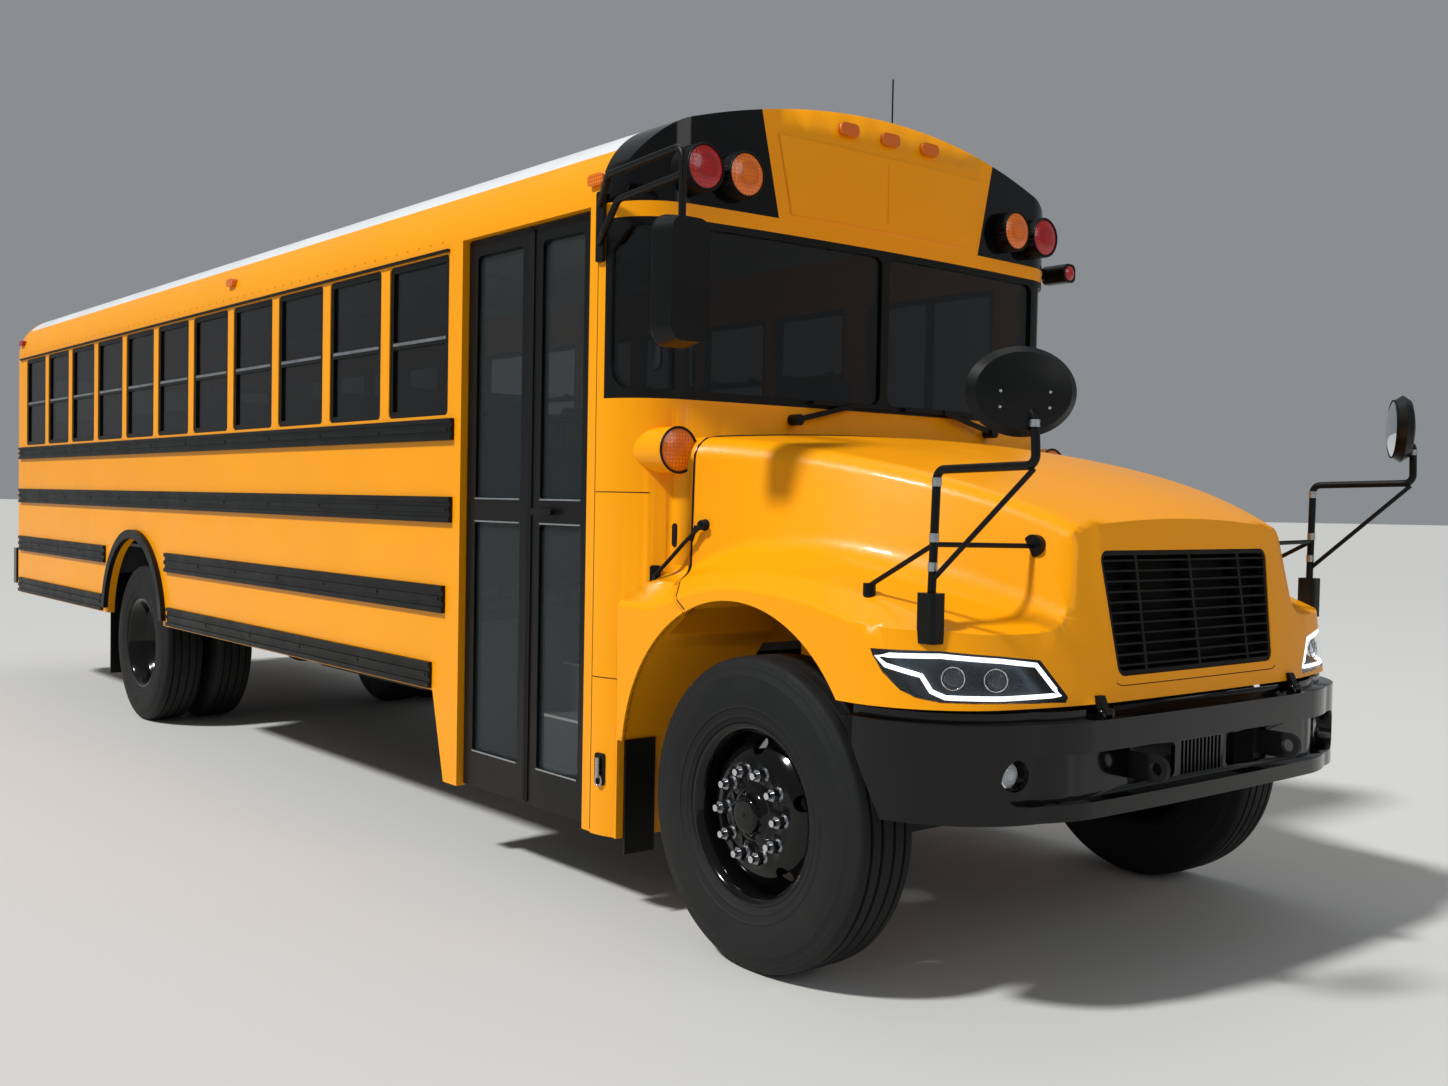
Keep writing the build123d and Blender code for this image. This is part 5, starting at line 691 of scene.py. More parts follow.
def vector_step(tree, operation, first, second=None):
    """One step of vector arithmetic: second is another vector, or the factor of a scaling."""
    inputs = {0: first}
    if second is not None:
        inputs[3 if operation == "SCALE" else 1] = second
    return add_node(tree, "ShaderNodeVectorMath", inputs, operation=operation).outputs[0]


def cushion_tree():
    """Stuffed pads: a box with its edges rolled over and its large faces a little full."""
    sizes = {"Size": (0.4, 0.9, 0.1), "Edge": 0.03, "Fullness": 0.012}
    tree, given, taken = new_tree("stuffed_pads", sizes)
    cuts = {"Vertices X": 11, "Vertices Y": 17, "Vertices Z": 7, "Size": given["Size"]}
    box = add_node(tree, "GeometryNodeMeshCube", cuts)
    place = tree.nodes.new("GeometryNodeInputPosition").outputs[0]
    half = vector_step(tree, "SCALE", given["Size"], 0.5)
    share = vector_step(tree, "DIVIDE", place, half)
    bent = vector_step(tree, "SINE", vector_step(tree, "SCALE", share, pi / 2))
    moved = vector_step(tree, "MULTIPLY", bent, half)
    core = vector_step(tree, "SUBTRACT", half, given["Edge"])
    low = vector_step(tree, "SCALE", core, -1.0)
    near = vector_step(tree, "MINIMUM", vector_step(tree, "MAXIMUM", moved, low), core)
    way = vector_step(tree, "NORMALIZE", vector_step(tree, "SUBTRACT", moved, near))
    rolled = vector_step(tree, "ADD", near, vector_step(tree, "MULTIPLY", way, given["Edge"]))
    parts = add_node(tree, "ShaderNodeSeparateXYZ", {0: bent}).outputs
    swell = given["Fullness"]
    for axis in (0, 1):
        square = maths(tree, "MULTIPLY", parts[axis], parts[axis])
        swell = maths(tree, "MULTIPLY", swell, maths(tree, "SUBTRACT", 1.0, square))
    rise = add_node(tree, "ShaderNodeCombineXYZ", {2: maths(tree, "MULTIPLY", swell, parts[2])})
    shape = {
        "Geometry": box.outputs[0],
        "Position": vector_step(tree, "ADD", rolled, rise.outputs[0]),
    }
    planted(tree, given, taken, add_node(tree, "GeometryNodeSetPosition", shape).outputs[0])
    return tree


def grown(name, spots, tree, inputs, mat, body, replaced=(), angle=40.0):
    """Grows a geometry tree on spots of (point, facing), and keeps the result as a plain mesh."""
    base = bmesh.new()
    layer = base.verts.layers.float_vector.new("facing")
    for point, facing in spots:
        base.verts.new(point)[layer] = facing
    mesh = bpy.data.meshes.new(name + "_spots")
    base.to_mesh(mesh)
    base.free()
    host = bpy.data.objects.new(name + "_spots", mesh)
    bpy.context.scene.collection.objects.link(host)
    modifier = host.modifiers.new("grow", "NODES")
    modifier.node_group = tree
    values = {**inputs, "Material": FINISH[mat]}
    for item in tree.interface.items_tree:
        if item.item_type == "SOCKET" and item.in_out == "INPUT" and item.name in values:
            modifier[item.identifier] = values[item.name]
    graph = bpy.context.evaluated_depsgraph_get()
    mesh = bpy.data.meshes.new_from_object(host.evaluated_get(graph), depsgraph=graph)
    mesh.name = name
    bpy.data.objects.remove(host)
    return placed(name, mesh, body, angle, replaced)


def rivets(name, spots, radius, mat, body):
    """Puts a domed head on each spot of (point, facing)."""
    tree = bpy.data.node_groups.get("rivet_heads") or rivet_tree()
    grown(name, spots, tree, {"Radius": radius}, mat, body)


def blocks(name, points, size, mat, body, replaced=()):
    """Puts a plain upright box on each point."""
    tree = bpy.data.node_groups.get("blocks") or box_tree()
    grown(name, [(point, UP) for point in points], tree, {"Size": size}, mat, body, replaced)


# Operators, one for each group of pieces


class BUS_OT_coachwork(bpy.types.Operator):
    """Paints the yellow coachwork, with smooth copies of its curved panels"""

    bl_idname = "bus.coachwork"
    bl_label = "Coachwork"
    # The hood's two black hinge ears: distance aside, half width, rear end and top
    ear_y = 0.560
    ear_half = 0.020
    ear_rear = 5.12
    ear_top = 0.980
    # The ends and middles of the front bumper's arcs, and the insets of its inner walls
    bumper_plan = (
        (0.480, 1.196, 1.0),
        (0.770, 1.082, 0.5),
        (0.905, 0.830, 0.25),
        (0.938, 0.740, 0.0),
        (0.955, 0.640, 0.0),
        (0.966, 0.0, 0.0),
    )
    bumper_insets = (0.0, 0.044, 0.046, 0.058, 0.060)
    roof_sheets = 14
    sheet_length = 0.657

    def execute(self, context):
        for node in ("side_wall_right", "side_wall_left", "front_cowl", "rear_wall", "rear_door"):
            recoated(node + "_panel", node, merged(node), ["body"])
        hood = merged("hood")
        for face in hood.faces:
            spot = face.calc_center_median()
            low = spot.z < self.ear_top and spot.x > self.ear_rear
            face.material_index = int(low and abs(abs(spot.y) - self.ear_y) < self.ear_half)
        recoated("hood_panel", "hood", hood, ["body", "powder"])
        rear = merged("bumper_rear")
        bmesh.ops.dissolve_limit(rear, angle_limit=radians(0.6), verts=rear.verts, edges=rear.edges)
        recoated("bumper_rear_shell", "bumper_rear", rear, ["black"], 35)
        front = merged("bumper_front")
        node = "bumper_front"
        shell = piece(node + "_shell", front, ["black"], "chassis", [node], 35)
        swept(shell, self.bumper_plan, self.bumper_insets)
        line = context.scene.bus_paint.roof_line
        roof = merged("roof_shell")
        parted(roof, (0, 0, line), UP)
        rear_x = min(vert.co.x for vert in roof.verts)
        for k in range(1, self.roof_sheets):
            parted(roof, (rear_x + k * self.sheet_length, 0, 0), (1, 0, 0))
        for face in roof.faces:
            face.material_index = int(face.calc_center_median().z > line)
        recoated("roof_panels", "roof_shell", roof, ["body", "roof"])
        return {"FINISHED"}


class BUS_OT_cap(bpy.types.Operator):
    """Paints the front cap: yellow, with black panels behind the warning lamps"""

    bl_idname = "bus.cap"
    bl_label = "Front cap"
    # Inner edge of a black panel: distance aside at its foot, and lean
    edge_y = 0.579
    edge_lean = 0.089 / 0.389
    ridge_foot = 2.700
    ridge_height = 0.240

    def execute(self, context):
        foot = context.scene.bus_paint.cap_foot
        cap = merged("front_cap")
        parted(cap, (0, 0, foot), UP)
        for side in SIDES:
            parted(cap, (0, side * self.edge_y, foot), (0, side, -self.edge_lean))
        for face in cap.faces:
            spot = face.calc_center_median()
            edge = self.edge_y + (spot.z - foot) * self.edge_lean
            face.material_index = int(spot.z > foot and abs(spot.y) > edge)
        recoated("front_cap_panel", "front_cap", cap, ["body", "black"])
        skin = surface("front_cap")
        heights = [self.ridge_foot + self.ridge_height * k / 12 for k in range(13)]
        ridge = bmesh.new()
        bead(ridge, [landed(skin, at(0, 0, z), (-1, 0, 0)) for z in heights], 0.004)
        piece("cap_ridge", ridge, ["body"], "chassis", angle=60)
        return {"FINISHED"}


class BUS_OT_plain(bpy.types.Operator):
    """Gives each node that stays its finish"""

    bl_idname = "bus.plain"
    bl_label = "Chassis, glass and trim"
    kept = {
        "frame_rails": "chassis",
        "floor_deck": "floor",
        "window_frames": "powder",
        "fixed_glass": "side_glass",
        "cab_fittings": "plastic",
        "body_trim": "rail",
        "outside_fittings": "powder",
        "front_axle": "iron",
        "rear_axle": "iron",
        "leaf_springs": "chassis",
        "powertrain": "iron",
        "fuel_tank": "chassis",
        "grille": "screen",
        "cross_mirror_right": "powder",
        "cross_mirror_left": "powder",
        "door_leaf_front": "powder",
        "door_leaf_rear": "powder",
        "door_glass_front": "door_glass",
        "door_glass_rear": "door_glass",
        "rear_door_glass": "side_glass",
        "knuckle_right": "iron",
        "knuckle_left": "iron",
        "tie_rod": "chassis",
        "stop_arm": "stop_red",
    }

    def execute(self, context):
        for node, mat in self.kept.items():
            materials = frame["nodes"][node].data.materials
            materials.clear()
            materials.append(FINISH[mat])
        return {"FINISHED"}


class BUS_OT_wheels(bpy.types.Operator):
    """Finishes the wheels: gloss black discs and plated nuts on their studs"""

    bl_idname = "bus.wheels"
    bl_label = "Wheels"
    # Each axle's place along the bus, and how far aside its wheel nuts sit
    axles = {"front": (front_axle_x, 1.074 + 0.096), "rear": (rear_axle_x, 1.033 - 0.165 + 0.012)}
    stud_circle = 0.142875
    stud_count = 10
    stud_reach = 0.050

    def execute(self, context):
        tree = nut_tree()
        sizes = {"Across": 0.0215, "Height": 0.031, "Stud": 0.0113, "Reach": self.stud_reach}
        radii = (self.stud_circle, self.stud_circle)
        for side in SIDES:
            outward = Vector((0, side, 0))
            for place, (axle_x, face_y) in self.axles.items():
                name = place + "_" + side_name(side)
                node = "wheel_" + name
                body = body_of(node)
                piece(node + "_disc", merged(node), ["black"], body, [node])
                hub = Vector((axle_x, side * face_y, wheel_z))
                studs = oval(hub, Vector((1, 0, 0)), UP, radii, self.stud_count)
                spots = [(point, outward) for point in studs]
                grown("wheel_nuts_" + name, spots, tree, sizes, "nut_steel", body)
                tips = bmesh.new()
                for point in studs:
                    end = point + outward * self.stud_reach
                    bead(tips, [end - outward * 0.004, end + outward * 0.002], 0.0116, 12)
                piece("wheel_nuts_" + name + "_tips", tips, ["chrome"], body, angle=40)
        return {"FINISHED"}


class BUS_OT_tyres(bpy.types.Operator):
    """Builds the road tyres with ribs, grooves and ringed sidewalls"""

    bl_idname = "bus.tyres"
    bl_label = "Tyres"
    crown = 0.522
    tread = 0.5215
    rim = 0.3005
    grooves = (0.026, 0.072)
    # From the tread's shoulder down the wall to the rim, as (radius, outward)
    wall = (
        (0.518, 0.103),
        (0.512, 0.112),
        (0.503, 0.118),
        (0.492, 0.1205),
        (0.488, 0.1235),
        (0.484, 0.1235),
        (0.480, 0.1255),
        (0.462, 0.1315),
        (0.459, 0.1335),
        (0.455, 0.1335),
        (0.452, 0.1340),
        (0.430, 0.1378),
        (0.405, 0.1390),
        (0.380, 0.1375),
        (0.360, 0.1345),
        (0.357, 0.1362),
        (0.352, 0.1360),
        (0.349, 0.1330),
        (0.330, 0.1290),
        (0.327, 0.1305),
        (0.321, 0.1300),
        (0.318, 0.1270),
        (0.306, 0.1235),
        (rim, 0.1160),
    )
    # Each axle's nodes, its place, and how far aside the middles of its tyres are
    axles = (("tyre_front_", front_axle_x, (1.074,)), ("tyres_rear_", rear_axle_x, (1.033, 0.703)))

    def section(self, sizes):
        """The closed section of a tyre, as (radius, outward)."""
        depth, reach = sizes.groove_depth, sizes.groove_width / 2
        half = [(self.crown, 0.0)]
        for groove in self.grooves:
            half += [
                (self.tread, groove - reach - 0.001),
                (self.tread - depth, groove - reach + 0.0015),
                (self.tread - depth, groove + reach - 0.0015),
                (self.tread - 0.0007, groove + reach + 0.001),
            ]
        half += self.wall
        return [(r, -y) for r, y in reversed(half[1:])] + half + [(self.rim, 0.0)]

    def execute(self, context):
        section = self.section(context.scene.bus_tyres)
        for side in SIDES:
            for name, axle_x, middles in self.axles:
                node = name + side_name(side)
                bm = bmesh.new()
                for middle_y in middles:
                    lathe(bm, section, Vector((axle_x, side * middle_y, wheel_z)), side, 120)
                piece(node + "_tread", bm, ["rubber"], body_of(node), [node], 32)
        return {"FINISHED"}


class BUS_OT_lamps(bpy.types.Operator):
    """Fits the warning, marker, turn and tail lamps: moulded lenses in black bezels"""

    bl_idname = "bus.lamps"
    bl_label = "Lamps"
    cap_x = front_axle_x - 0.556
    rear_x = rear_axle_x - 3.104
    # Pairs of round lenses: x, the way they face, distance aside, height, radius, finish
    pairs = (
        (cap_x, 1, 0.784, 2.772, 0.078, 0),
        (cap_x, 1, 0.982, 2.769, 0.078, 1),
        (cap_x - 0.004, 1, 1.080, 1.735, 0.078, 0),
        (front_axle_x + 0.8195, 1, 0.881, 0.751, 0.034, 3),
        (rear_x, -1, 0.800, 2.790, 0.078, 0),
        (rear_x, -1, 1.020, 2.790, 0.078, 1),
        (rear_x, -1, 1.060, 1.640, 0.078, 1),
        (rear_x, -1, 1.060, 1.400, 0.052, 0),
        (rear_x, -1, 1.060, 1.240, 0.052, 2),
    )

    def housing(self, spot, size):
        """Which finish a housing takes, by its place and size: plastic, amber, red or body."""
        if max(size.y, size.z) > 0.17 and spot.z > 2.7:
            return 0
        if spot.x < -4.9:
            return 2 if spot.z > 1.5 or spot.z < 1.0 else 0
        if spot.z < 1.0:
            return 0
        return 3 if spot.z < 2.0 else 1

    def execute(self, context):
        heads = merged("lamp_heads")
        for faces in islands(heads):
            index = self.housing(*middle(faces))
            for face in faces:
                face.material_index = index
        mats = ["plastic", "amber", "red", "body"]
        recoated("lamp_housings", "lamp_heads", heads, mats)
        lenses, bezels = bmesh.new(), bmesh.new()
        for x, way, y, z, radius, index in self.pairs:
            across = Vector((0, way, 0))
            outer = radius + 0.004
            for side in SIDES:
                centre = Vector((x, side * y, z))
                dome(lenses, centre, across, UP, (radius, radius), 0.014, 40, 6, index, 2.4)
                ring(bezels, centre, across, UP, (outer, outer), 0.005, 40, index=int(index == 3))
        arm_lamp = at(-0.6858, 1.339, 2.664)
        dome(lenses, arm_lamp, Vector((0, 1, 0)), UP, (0.034, 0.034), 0.012, 28, 5, 1)
        mats = ["amber", "red", "reflector", "fog"]
        piece("lamp_lenses", lenses, mats, "chassis", angle=60)
        mats = ["plastic", "chrome"]
        piece("lamp_bezels", bezels, mats, "chassis", angle=60)
        return {"FINISHED"}


class BUS_OT_headlamps(bpy.types.Operator):
    """Builds each headlamp: a dark bucket, two projectors, a white light tube and a clear cover"""

    bl_idname = "bus.headlamps"
    bl_label = "Headlamps"
    # How far a lamp's face is turned outward from straight ahead
    turn = radians(50)
    # Where the light tube runs, in the lamp's own plane: back along the bus, and height
    tube_run = (
        (-0.316, 0.984),
        (-0.150, 0.982),
        (0.020, 0.986),
        (0.062, 1.003),
        (0.092, 1.048),
        (0.200, 1.073),
        (0.228, 1.098),
        (0.190, 1.103),
        (0.039, 1.107),
        (-0.133, 1.093),
        (-0.243, 1.077),
        (-0.316, 0.984),
    )
    tube_step = 0.02
    projectors = ((0.000, 1.040), (-0.125, 1.034))

    def shells(self, node, tree):
        """Parts the lamps' faces into the cover, which shows from outside, and the bucket."""
        cover, bucket = bmesh.new(), bmesh.new()
        for face in node.faces:
            spot = face.calc_center_median()
            outward = Vector((cos(self.turn), (1 if spot.y > 0 else -1) * sin(self.turn), 0))
            hit = tree.ray_cast(spot + outward * 0.5, -outward)[0]
            shows = hit is not None and (hit - spot).dot(outward) < 0.004
            target = cover if shows and face.normal.dot(outward) > 0.25 else bucket
            made = [target.verts.new(v.co) for v in face.verts]
            target.faces.new(made if target is cover else made[::-1])
        for bm in (cover, bucket):
            bmesh.ops.remove_doubles(bm, verts=bm.verts, dist=1e-5)
        return cover, bucket

    def execute(self, context):
        node = merged("headlamps")
        tree = BVHTree.FromBMesh(node)
        node.normal_update()
        cover, bucket = self.shells(node, tree)
        node.free()
        walled(piece("headlamp_covers", cover, ["clear"], "hood", ["headlamps"]), 0.003)
        piece("headlamp_buckets", bucket, ["bucket"], "hood", ["headlamps"])
        tubes, rings = bmesh.new(), bmesh.new()
        for side in SIDES:
            outward = Vector((cos(self.turn), side * sin(self.turn), 0))
            back = Vector((-sin(self.turn), side * cos(self.turn), 0))

            def behind(u, z, depth):
                """A point of the lamp's plane, moved to a depth behind its cover."""
                start = at(0.700, side * 1.0, z) + back * u
                hit = tree.ray_cast(start + outward * 0.6, -outward)[0]
                return (start if hit is None else hit) - outward * depth

            line = []
            for (u, z), (next_u, next_z) in zip(self.tube_run, self.tube_run[1:]):
                count = max(1, int(hypot(next_u - u, next_z - z) / self.tube_step))
                for k in range(count):
                    share = k / count
                    line.append(behind(u + (next_u - u) * share, z + (next_z - z) * share, 0.009))
            bead(tubes, line, 0.0075, closed=True)
            across = back * side
            for u, z in self.projectors:
                centre = behind(u, z, 0.030)
                dome(rings, centre, across, UP, (0.030, 0.030), 0.012, 28, 5, 1)
                ring(rings, centre + outward * 0.004, across, UP, (0.034, 0.034), 0.002, 28, 8)
        piece("headlamp_tubes", tubes, ["tube"], "hood", angle=80)
        piece("headlamp_projectors", rings, ["chrome", "projector"], "hood", angle=70)
        return {"FINISHED"}


# The domed back of a cross-view mirror: distance behind its middle, two radii and rise
mirror_back = 0.0262
mirror_radii = (0.1365, 0.107)
mirror_rise = 0.018


def cross_mirror(side):
    """A cross-view mirror: the middle of its head, and the way its glass faces."""
    turn = radians(33)
    return at(1.018, side * 1.111, 1.868), Vector((-cos(turn), -side * sin(turn), 0))


class BUS_OT_mirrors(bpy.types.Operator):
    """Fits the mirror glass and the domed backs of the cross-view mirrors"""

    bl_idname = "bus.mirrors"
    bl_label = "Mirrors"

    def execute(self, context):
        for side in SIDES:
            centre, facing = cross_mirror(side)
            across = UP.cross(facing)
            back = centre - facing * mirror_back
            bm = bmesh.new()
            dome(bm, centre + facing * 0.0302, across, UP, (0.1335, 0.105), 0.020, 48, 8, 0)
            dome(bm, back, -across, UP, mirror_radii, mirror_rise, 48, 8, 1)
            ring(bm, centre + facing * 0.030, across, UP, (0.136, 0.1065), 0.0035, 48, 8, 2)
            name = "cross_mirror_glass_" + side_name(side)
            piece(name, bm, ["mirror", "powder", "seal"], "hood", angle=60)
        return {"FINISHED"}


class BUS_OT_mirror_fittings(bpy.types.Operator):
    """Fits the door mirror's glass, the collars on the arms and the screws on the mirror backs"""

    bl_idname = "bus.mirror_fittings"
    bl_label = "Mirror fittings"
    # Bright collars on the arms: ahead of the axle, aside, height, half length
    collars = (
        (0.6935, 1.0853, 1.6200, 0.013),
        (0.6905, 1.0882, 1.4560, 0.013),
        (0.6885, 1.0893, 1.3700, 0.013),
        (1.0660, 1.1090, 1.7800, 0.010),
    )
    screws = ((-0.070, -0.002), (-0.070, -0.045), (0.070, -0.002), (0.070, -0.045))

    def execute(self, context):
        bm = bmesh.new()
        centre = at(-0.2972, -1.318, 2.285)
        across = Vector((0, -1, 0))
        plate(bm, rounded(0.170, 0.420, 0.052), centre, across, UP, 0.0030)
        edge = centre - Vector((0.0004, 0, 0))
        line = [edge + across * u + UP * v for u, v in rounded(0.176, 0.426, 0.055)]
        bead(bm, line, 0.003, closed=True, index=1)
        piece("door_mirror_glass", bm, ["mirror", "seal"], "chassis", angle=40)
        for side in SIDES:
            bm = bmesh.new()
            for x, y, z, half in self.collars:
                bead(bm, [at(x, side * y, z - half), at(x, side * y, z + half)], 0.0150, 20)
            piece("mirror_collars_" + side_name(side), bm, ["bright"], "hood", angle=40)
            centre, facing = cross_mirror(side)
            spots = []
            for u, v in self.screws:
                share = (u / mirror_radii[0]) ** 2 + (v / mirror_radii[1]) ** 2
                back = centre - facing * (mirror_back + mirror_rise * (1 - share))
                spots.append((back + UP.cross(-facing) * u + UP * v, -facing))
            rivets("mirror_screws_" + side_name(side), spots, 0.0045, "bright", "hood")
        return {"FINISHED"}


class BUS_OT_grille(bpy.types.Operator):
    """Hangs the black insect screen behind the grille's bars"""

    bl_idname = "bus.grille"
    bl_label = "Grille screen"
    foot = 1.032
    height = 0.380
    lean = radians(8.5)

    def execute(self, context):
        rows = []
        for k in range(9):
            z = self.foot + self.height * k / 8
            half = 0.449 + 0.037 * (z - 1.026) / 0.393
            row = []
            for j in range(21):
                y = half * (j / 10 - 1)
                x = 0.851 - 0.006 * (y / 0.49) ** 2 + tan(self.lean) * (1.014 - z)
                row.append(at(x, y, z))
            rows.append(row)
        bm = bmesh.new()
        skinned(bm, rows, around=False)
        walled(piece("grille_screen", bm, ["screen"], "hood", angle=40), 0.0015)
        return {"FINISHED"}


class BUS_OT_seals(bpy.types.Operator):
    """Lays black rubber on the hood's rear edge and in the cowl's joints, and a thin black line
    under the grille as painted shade in its crease
    """

    bl_idname = "bus.seals"
    bl_label = "Seals and joints"
    hood_edge = -0.5195
    hood_foot = 1.290
    # The crease under the grille, whose shade is painted as a black line: half its width and its
    # height
    painted_crease_half = 0.468
    painted_crease_z = 0.998
    joint_rear = -0.886
    # The cowl's level joints: height, and where they end ahead
    joints = ((1.579, -0.680), (0.888, -0.752))

    def execute(self, context):
        hood, cowl = surface("hood"), surface("front_cowl")
        bm = bmesh.new()
        heart = at(self.hood_edge, 0, self.hood_foot)
        edge = []
        for k in range(97):
            turn = pi * k / 96
            way = Vector((0, -cos(turn), sin(turn)))
            edge.append(landed(hood, heart + way * 2.2, -way))
        bead(bm, edge, 0.0045)
        for side in SIDES:
            seam = []
            for k in range(9):
                start = heart + Vector((0.162 * k / 8, side * 2, -0.002 - 0.114 * k / 8))
                seam.append(landed(hood, start, (0, -side, 0)))
            bead(bm, seam, 0.0025)
        # A thin black bead along the crease under the grille paints the crease's shade
        painted_crease_shade = []
        for k in range(49):
            share = k / 24 - 1
            lift = 0.010 * max(0.0, abs(share) - 0.95) / 0.05
            start = at(2, self.painted_crease_half * share, self.painted_crease_z + lift)
            painted_crease_shade.append(landed(hood, start, (-1, 0, 0)))
        bead(bm, painted_crease_shade, 0.0016, 6)
        piece("hood_seals_and_crease_shade", bm, ["seal"], "hood", angle=60)
        bm = bmesh.new()
        for side in SIDES:
            for z, front in self.joints:
                joint = []
                for k in range(25):
                    x = self.joint_rear + (front - self.joint_rear) * k / 24
                    joint.append(landed(cowl, at(x, side * 2, z), (0, -side, 0)))
                bead(bm, joint, 0.0018, 6)
            upright = [at(-0.890, side * (body_half - 0.0002), z) for z in (0.31, 2.58)]
            bead(bm, upright, 0.0018, 6)
        piece("cowl_joints", bm, ["seal"], "chassis", angle=60)
        return {"FINISHED"}


class BUS_OT_latches(bpy.types.Operator):
    """Fits the rubber hood straps with their hooks and plates, and the cowl's lower latches"""

    bl_idname = "bus.latches"
    bl_label = "Hood latches"

    def strap(self, side):
        """A strap from its hook on the hood to its plate on the cowl, and the slot beside it."""
        out = Vector((0.28, side * 0.96, 0))
        across = UP.cross(out)
        anchor = at(-0.467, side * 1.027, 1.465)
        hook = bmesh.new()
        dome(hook, anchor - out * 0.004, across, UP, (0.024, 0.024), 0.020, 24, 5)
        piece("hood_strap_hook_" + side_name(side), hook, ["seal"], "hood", angle=50)
        bm = bmesh.new()
        top, foot = anchor + out * 0.022, at(-0.650, side * 1.112, 1.275)
        run = foot - top
        bead(bm, [top, top + run * 0.35 + out * 0.006, top + run * 0.7, foot], 0.0075, 10)
        handle = top + run.normalized() * 0.045
        grip = UP * 0.028 + Vector((-side * 0.96, 0.28, 0)) * 0.01
        bead(bm, [handle - grip, handle + grip], 0.007, 10)
        ring(bm, top, across, UP, (0.013, 0.013), 0.006, 20, 8)
        base = at(-0.666, side * 1.099, 1.265)
        base_out = Vector((0.86, side * 0.51, 0))
        outline = rounded(0.040, 0.110, 0.008)
        plate(bm, outline, base - UP * 0.008, UP.cross(base_out), UP, 0.010)
        bead(bm, [base + base_out * 0.004, foot + run.normalized() * 0.006], 0.010, 10)
        slot = at(-0.618, side * 1.046, 1.425)
        plate(bm, rounded(0.026, 0.086, 0.012), slot, Vector((-side, 0, 0)), UP, 0.006)
        piece("hood_strap_" + side_name(side), bm, ["seal"], "chassis", angle=50)

    def execute(self, context):
        for side in SIDES:
            self.strap(side)
            bm = bmesh.new()
            out = Vector((0.21, side * 0.978, 0)).normalized()
            across = UP.cross(out)
            seat = at(-0.833, side * 1.2145, 0.545)
            plate(bm, rounded(0.052, 0.120, 0.010), seat, across, UP, 0.005)
            lever = seat + out * 0.016
            bead(bm, [lever + UP * 0.045, lever - UP * 0.030], 0.009, 10, index=1)
            eye = seat + out * 0.010 - UP * 0.042
            ring(bm, eye, across, UP, (0.015, 0.020), 0.004, 20, 8, 1)
            name = "cowl_latch_" + side_name(side)
            piece(name, bm, ["powder", "bright"], "chassis", angle=50)
        return {"FINISHED"}


class BUS_OT_stop_arm(bpy.types.Operator):
    """Faces the folded stop arm: a red field, a white border and two lenses, with no lettering"""

    bl_idname = "bus.stop_arm"
    bl_label = "Stop arm"
    field = 0.412
    border = 0.446

    def execute(self, context):
        bm = bmesh.new()
        across = Vector((-1, 0, 0))
        centre = at(-1.560, 1.2611, 1.660)
        plate(bm, regular(8, self.border), centre, across, UP, 0.0010)
        plate(bm, regular(8, self.field), centre, across, UP, 0.0020, 1)
        for lift in (-0.135, 0.135):
            spot = centre + Vector((0, 0.002, lift))
            dome(bm, spot, across, UP, (0.046, 0.046), 0.016, 32, 6, 2)
            ring(bm, spot, across, UP, (0.049, 0.049), 0.004, 32, 8, 3)
        mats = ["stop_white", "stop_red", "red", "plastic"]
        piece("stop_arm_face", bm, mats, "stop_sign", angle=30)
        return {"FINISHED"}


class BUS_OT_fastenings(bpy.types.Operator):
    """Rows of rivets along the drip rail and bolts along the rub rails"""

    bl_idname = "bus.fastenings"
    bl_label = "Rivets and bolts"
    drip_z = 2.662
    bolt_pitch = 0.65
    # Rub rails: height, rear end and front end, by the front axle
    rails = (
        (1.8425, -9.30, -1.975),
        (1.4935, -9.30, -1.982),
        (1.100, -9.30, -6.985),
        (1.100, -5.70, -2.037),
        (0.7575, -9.30, -7.040),
        (0.7575, -5.65, -2.150),
    )

    def execute(self, context):
        sizes = context.scene.bus_rivets
        trim = surface("body_trim")
        heads, bolts = [], []
        for side in SIDES:
            outward = Vector((0, side, 0))
            x = front_axle_x - 2.10
            while x > rear_axle_x - 3.0:
                heads.append(((x, side * (body_half + 0.0005), self.drip_z), outward))
                x -= sizes.pitch
            for z, rear, front in self.rails:
                count = round((front - rear) / self.bolt_pitch)
                for k in range(count + 1):
                    x = rear + 0.03 + (front - rear - 0.06) * k / count
                    bolts.append((landed(trim, at(x, side * 1.6, z), -outward), outward))
        rivets("drip_rivets", heads, sizes.radius, "body", "chassis")
        rivets("rail_bolts", bolts, 0.009, "rail", "chassis")
        return {"FINISHED"}


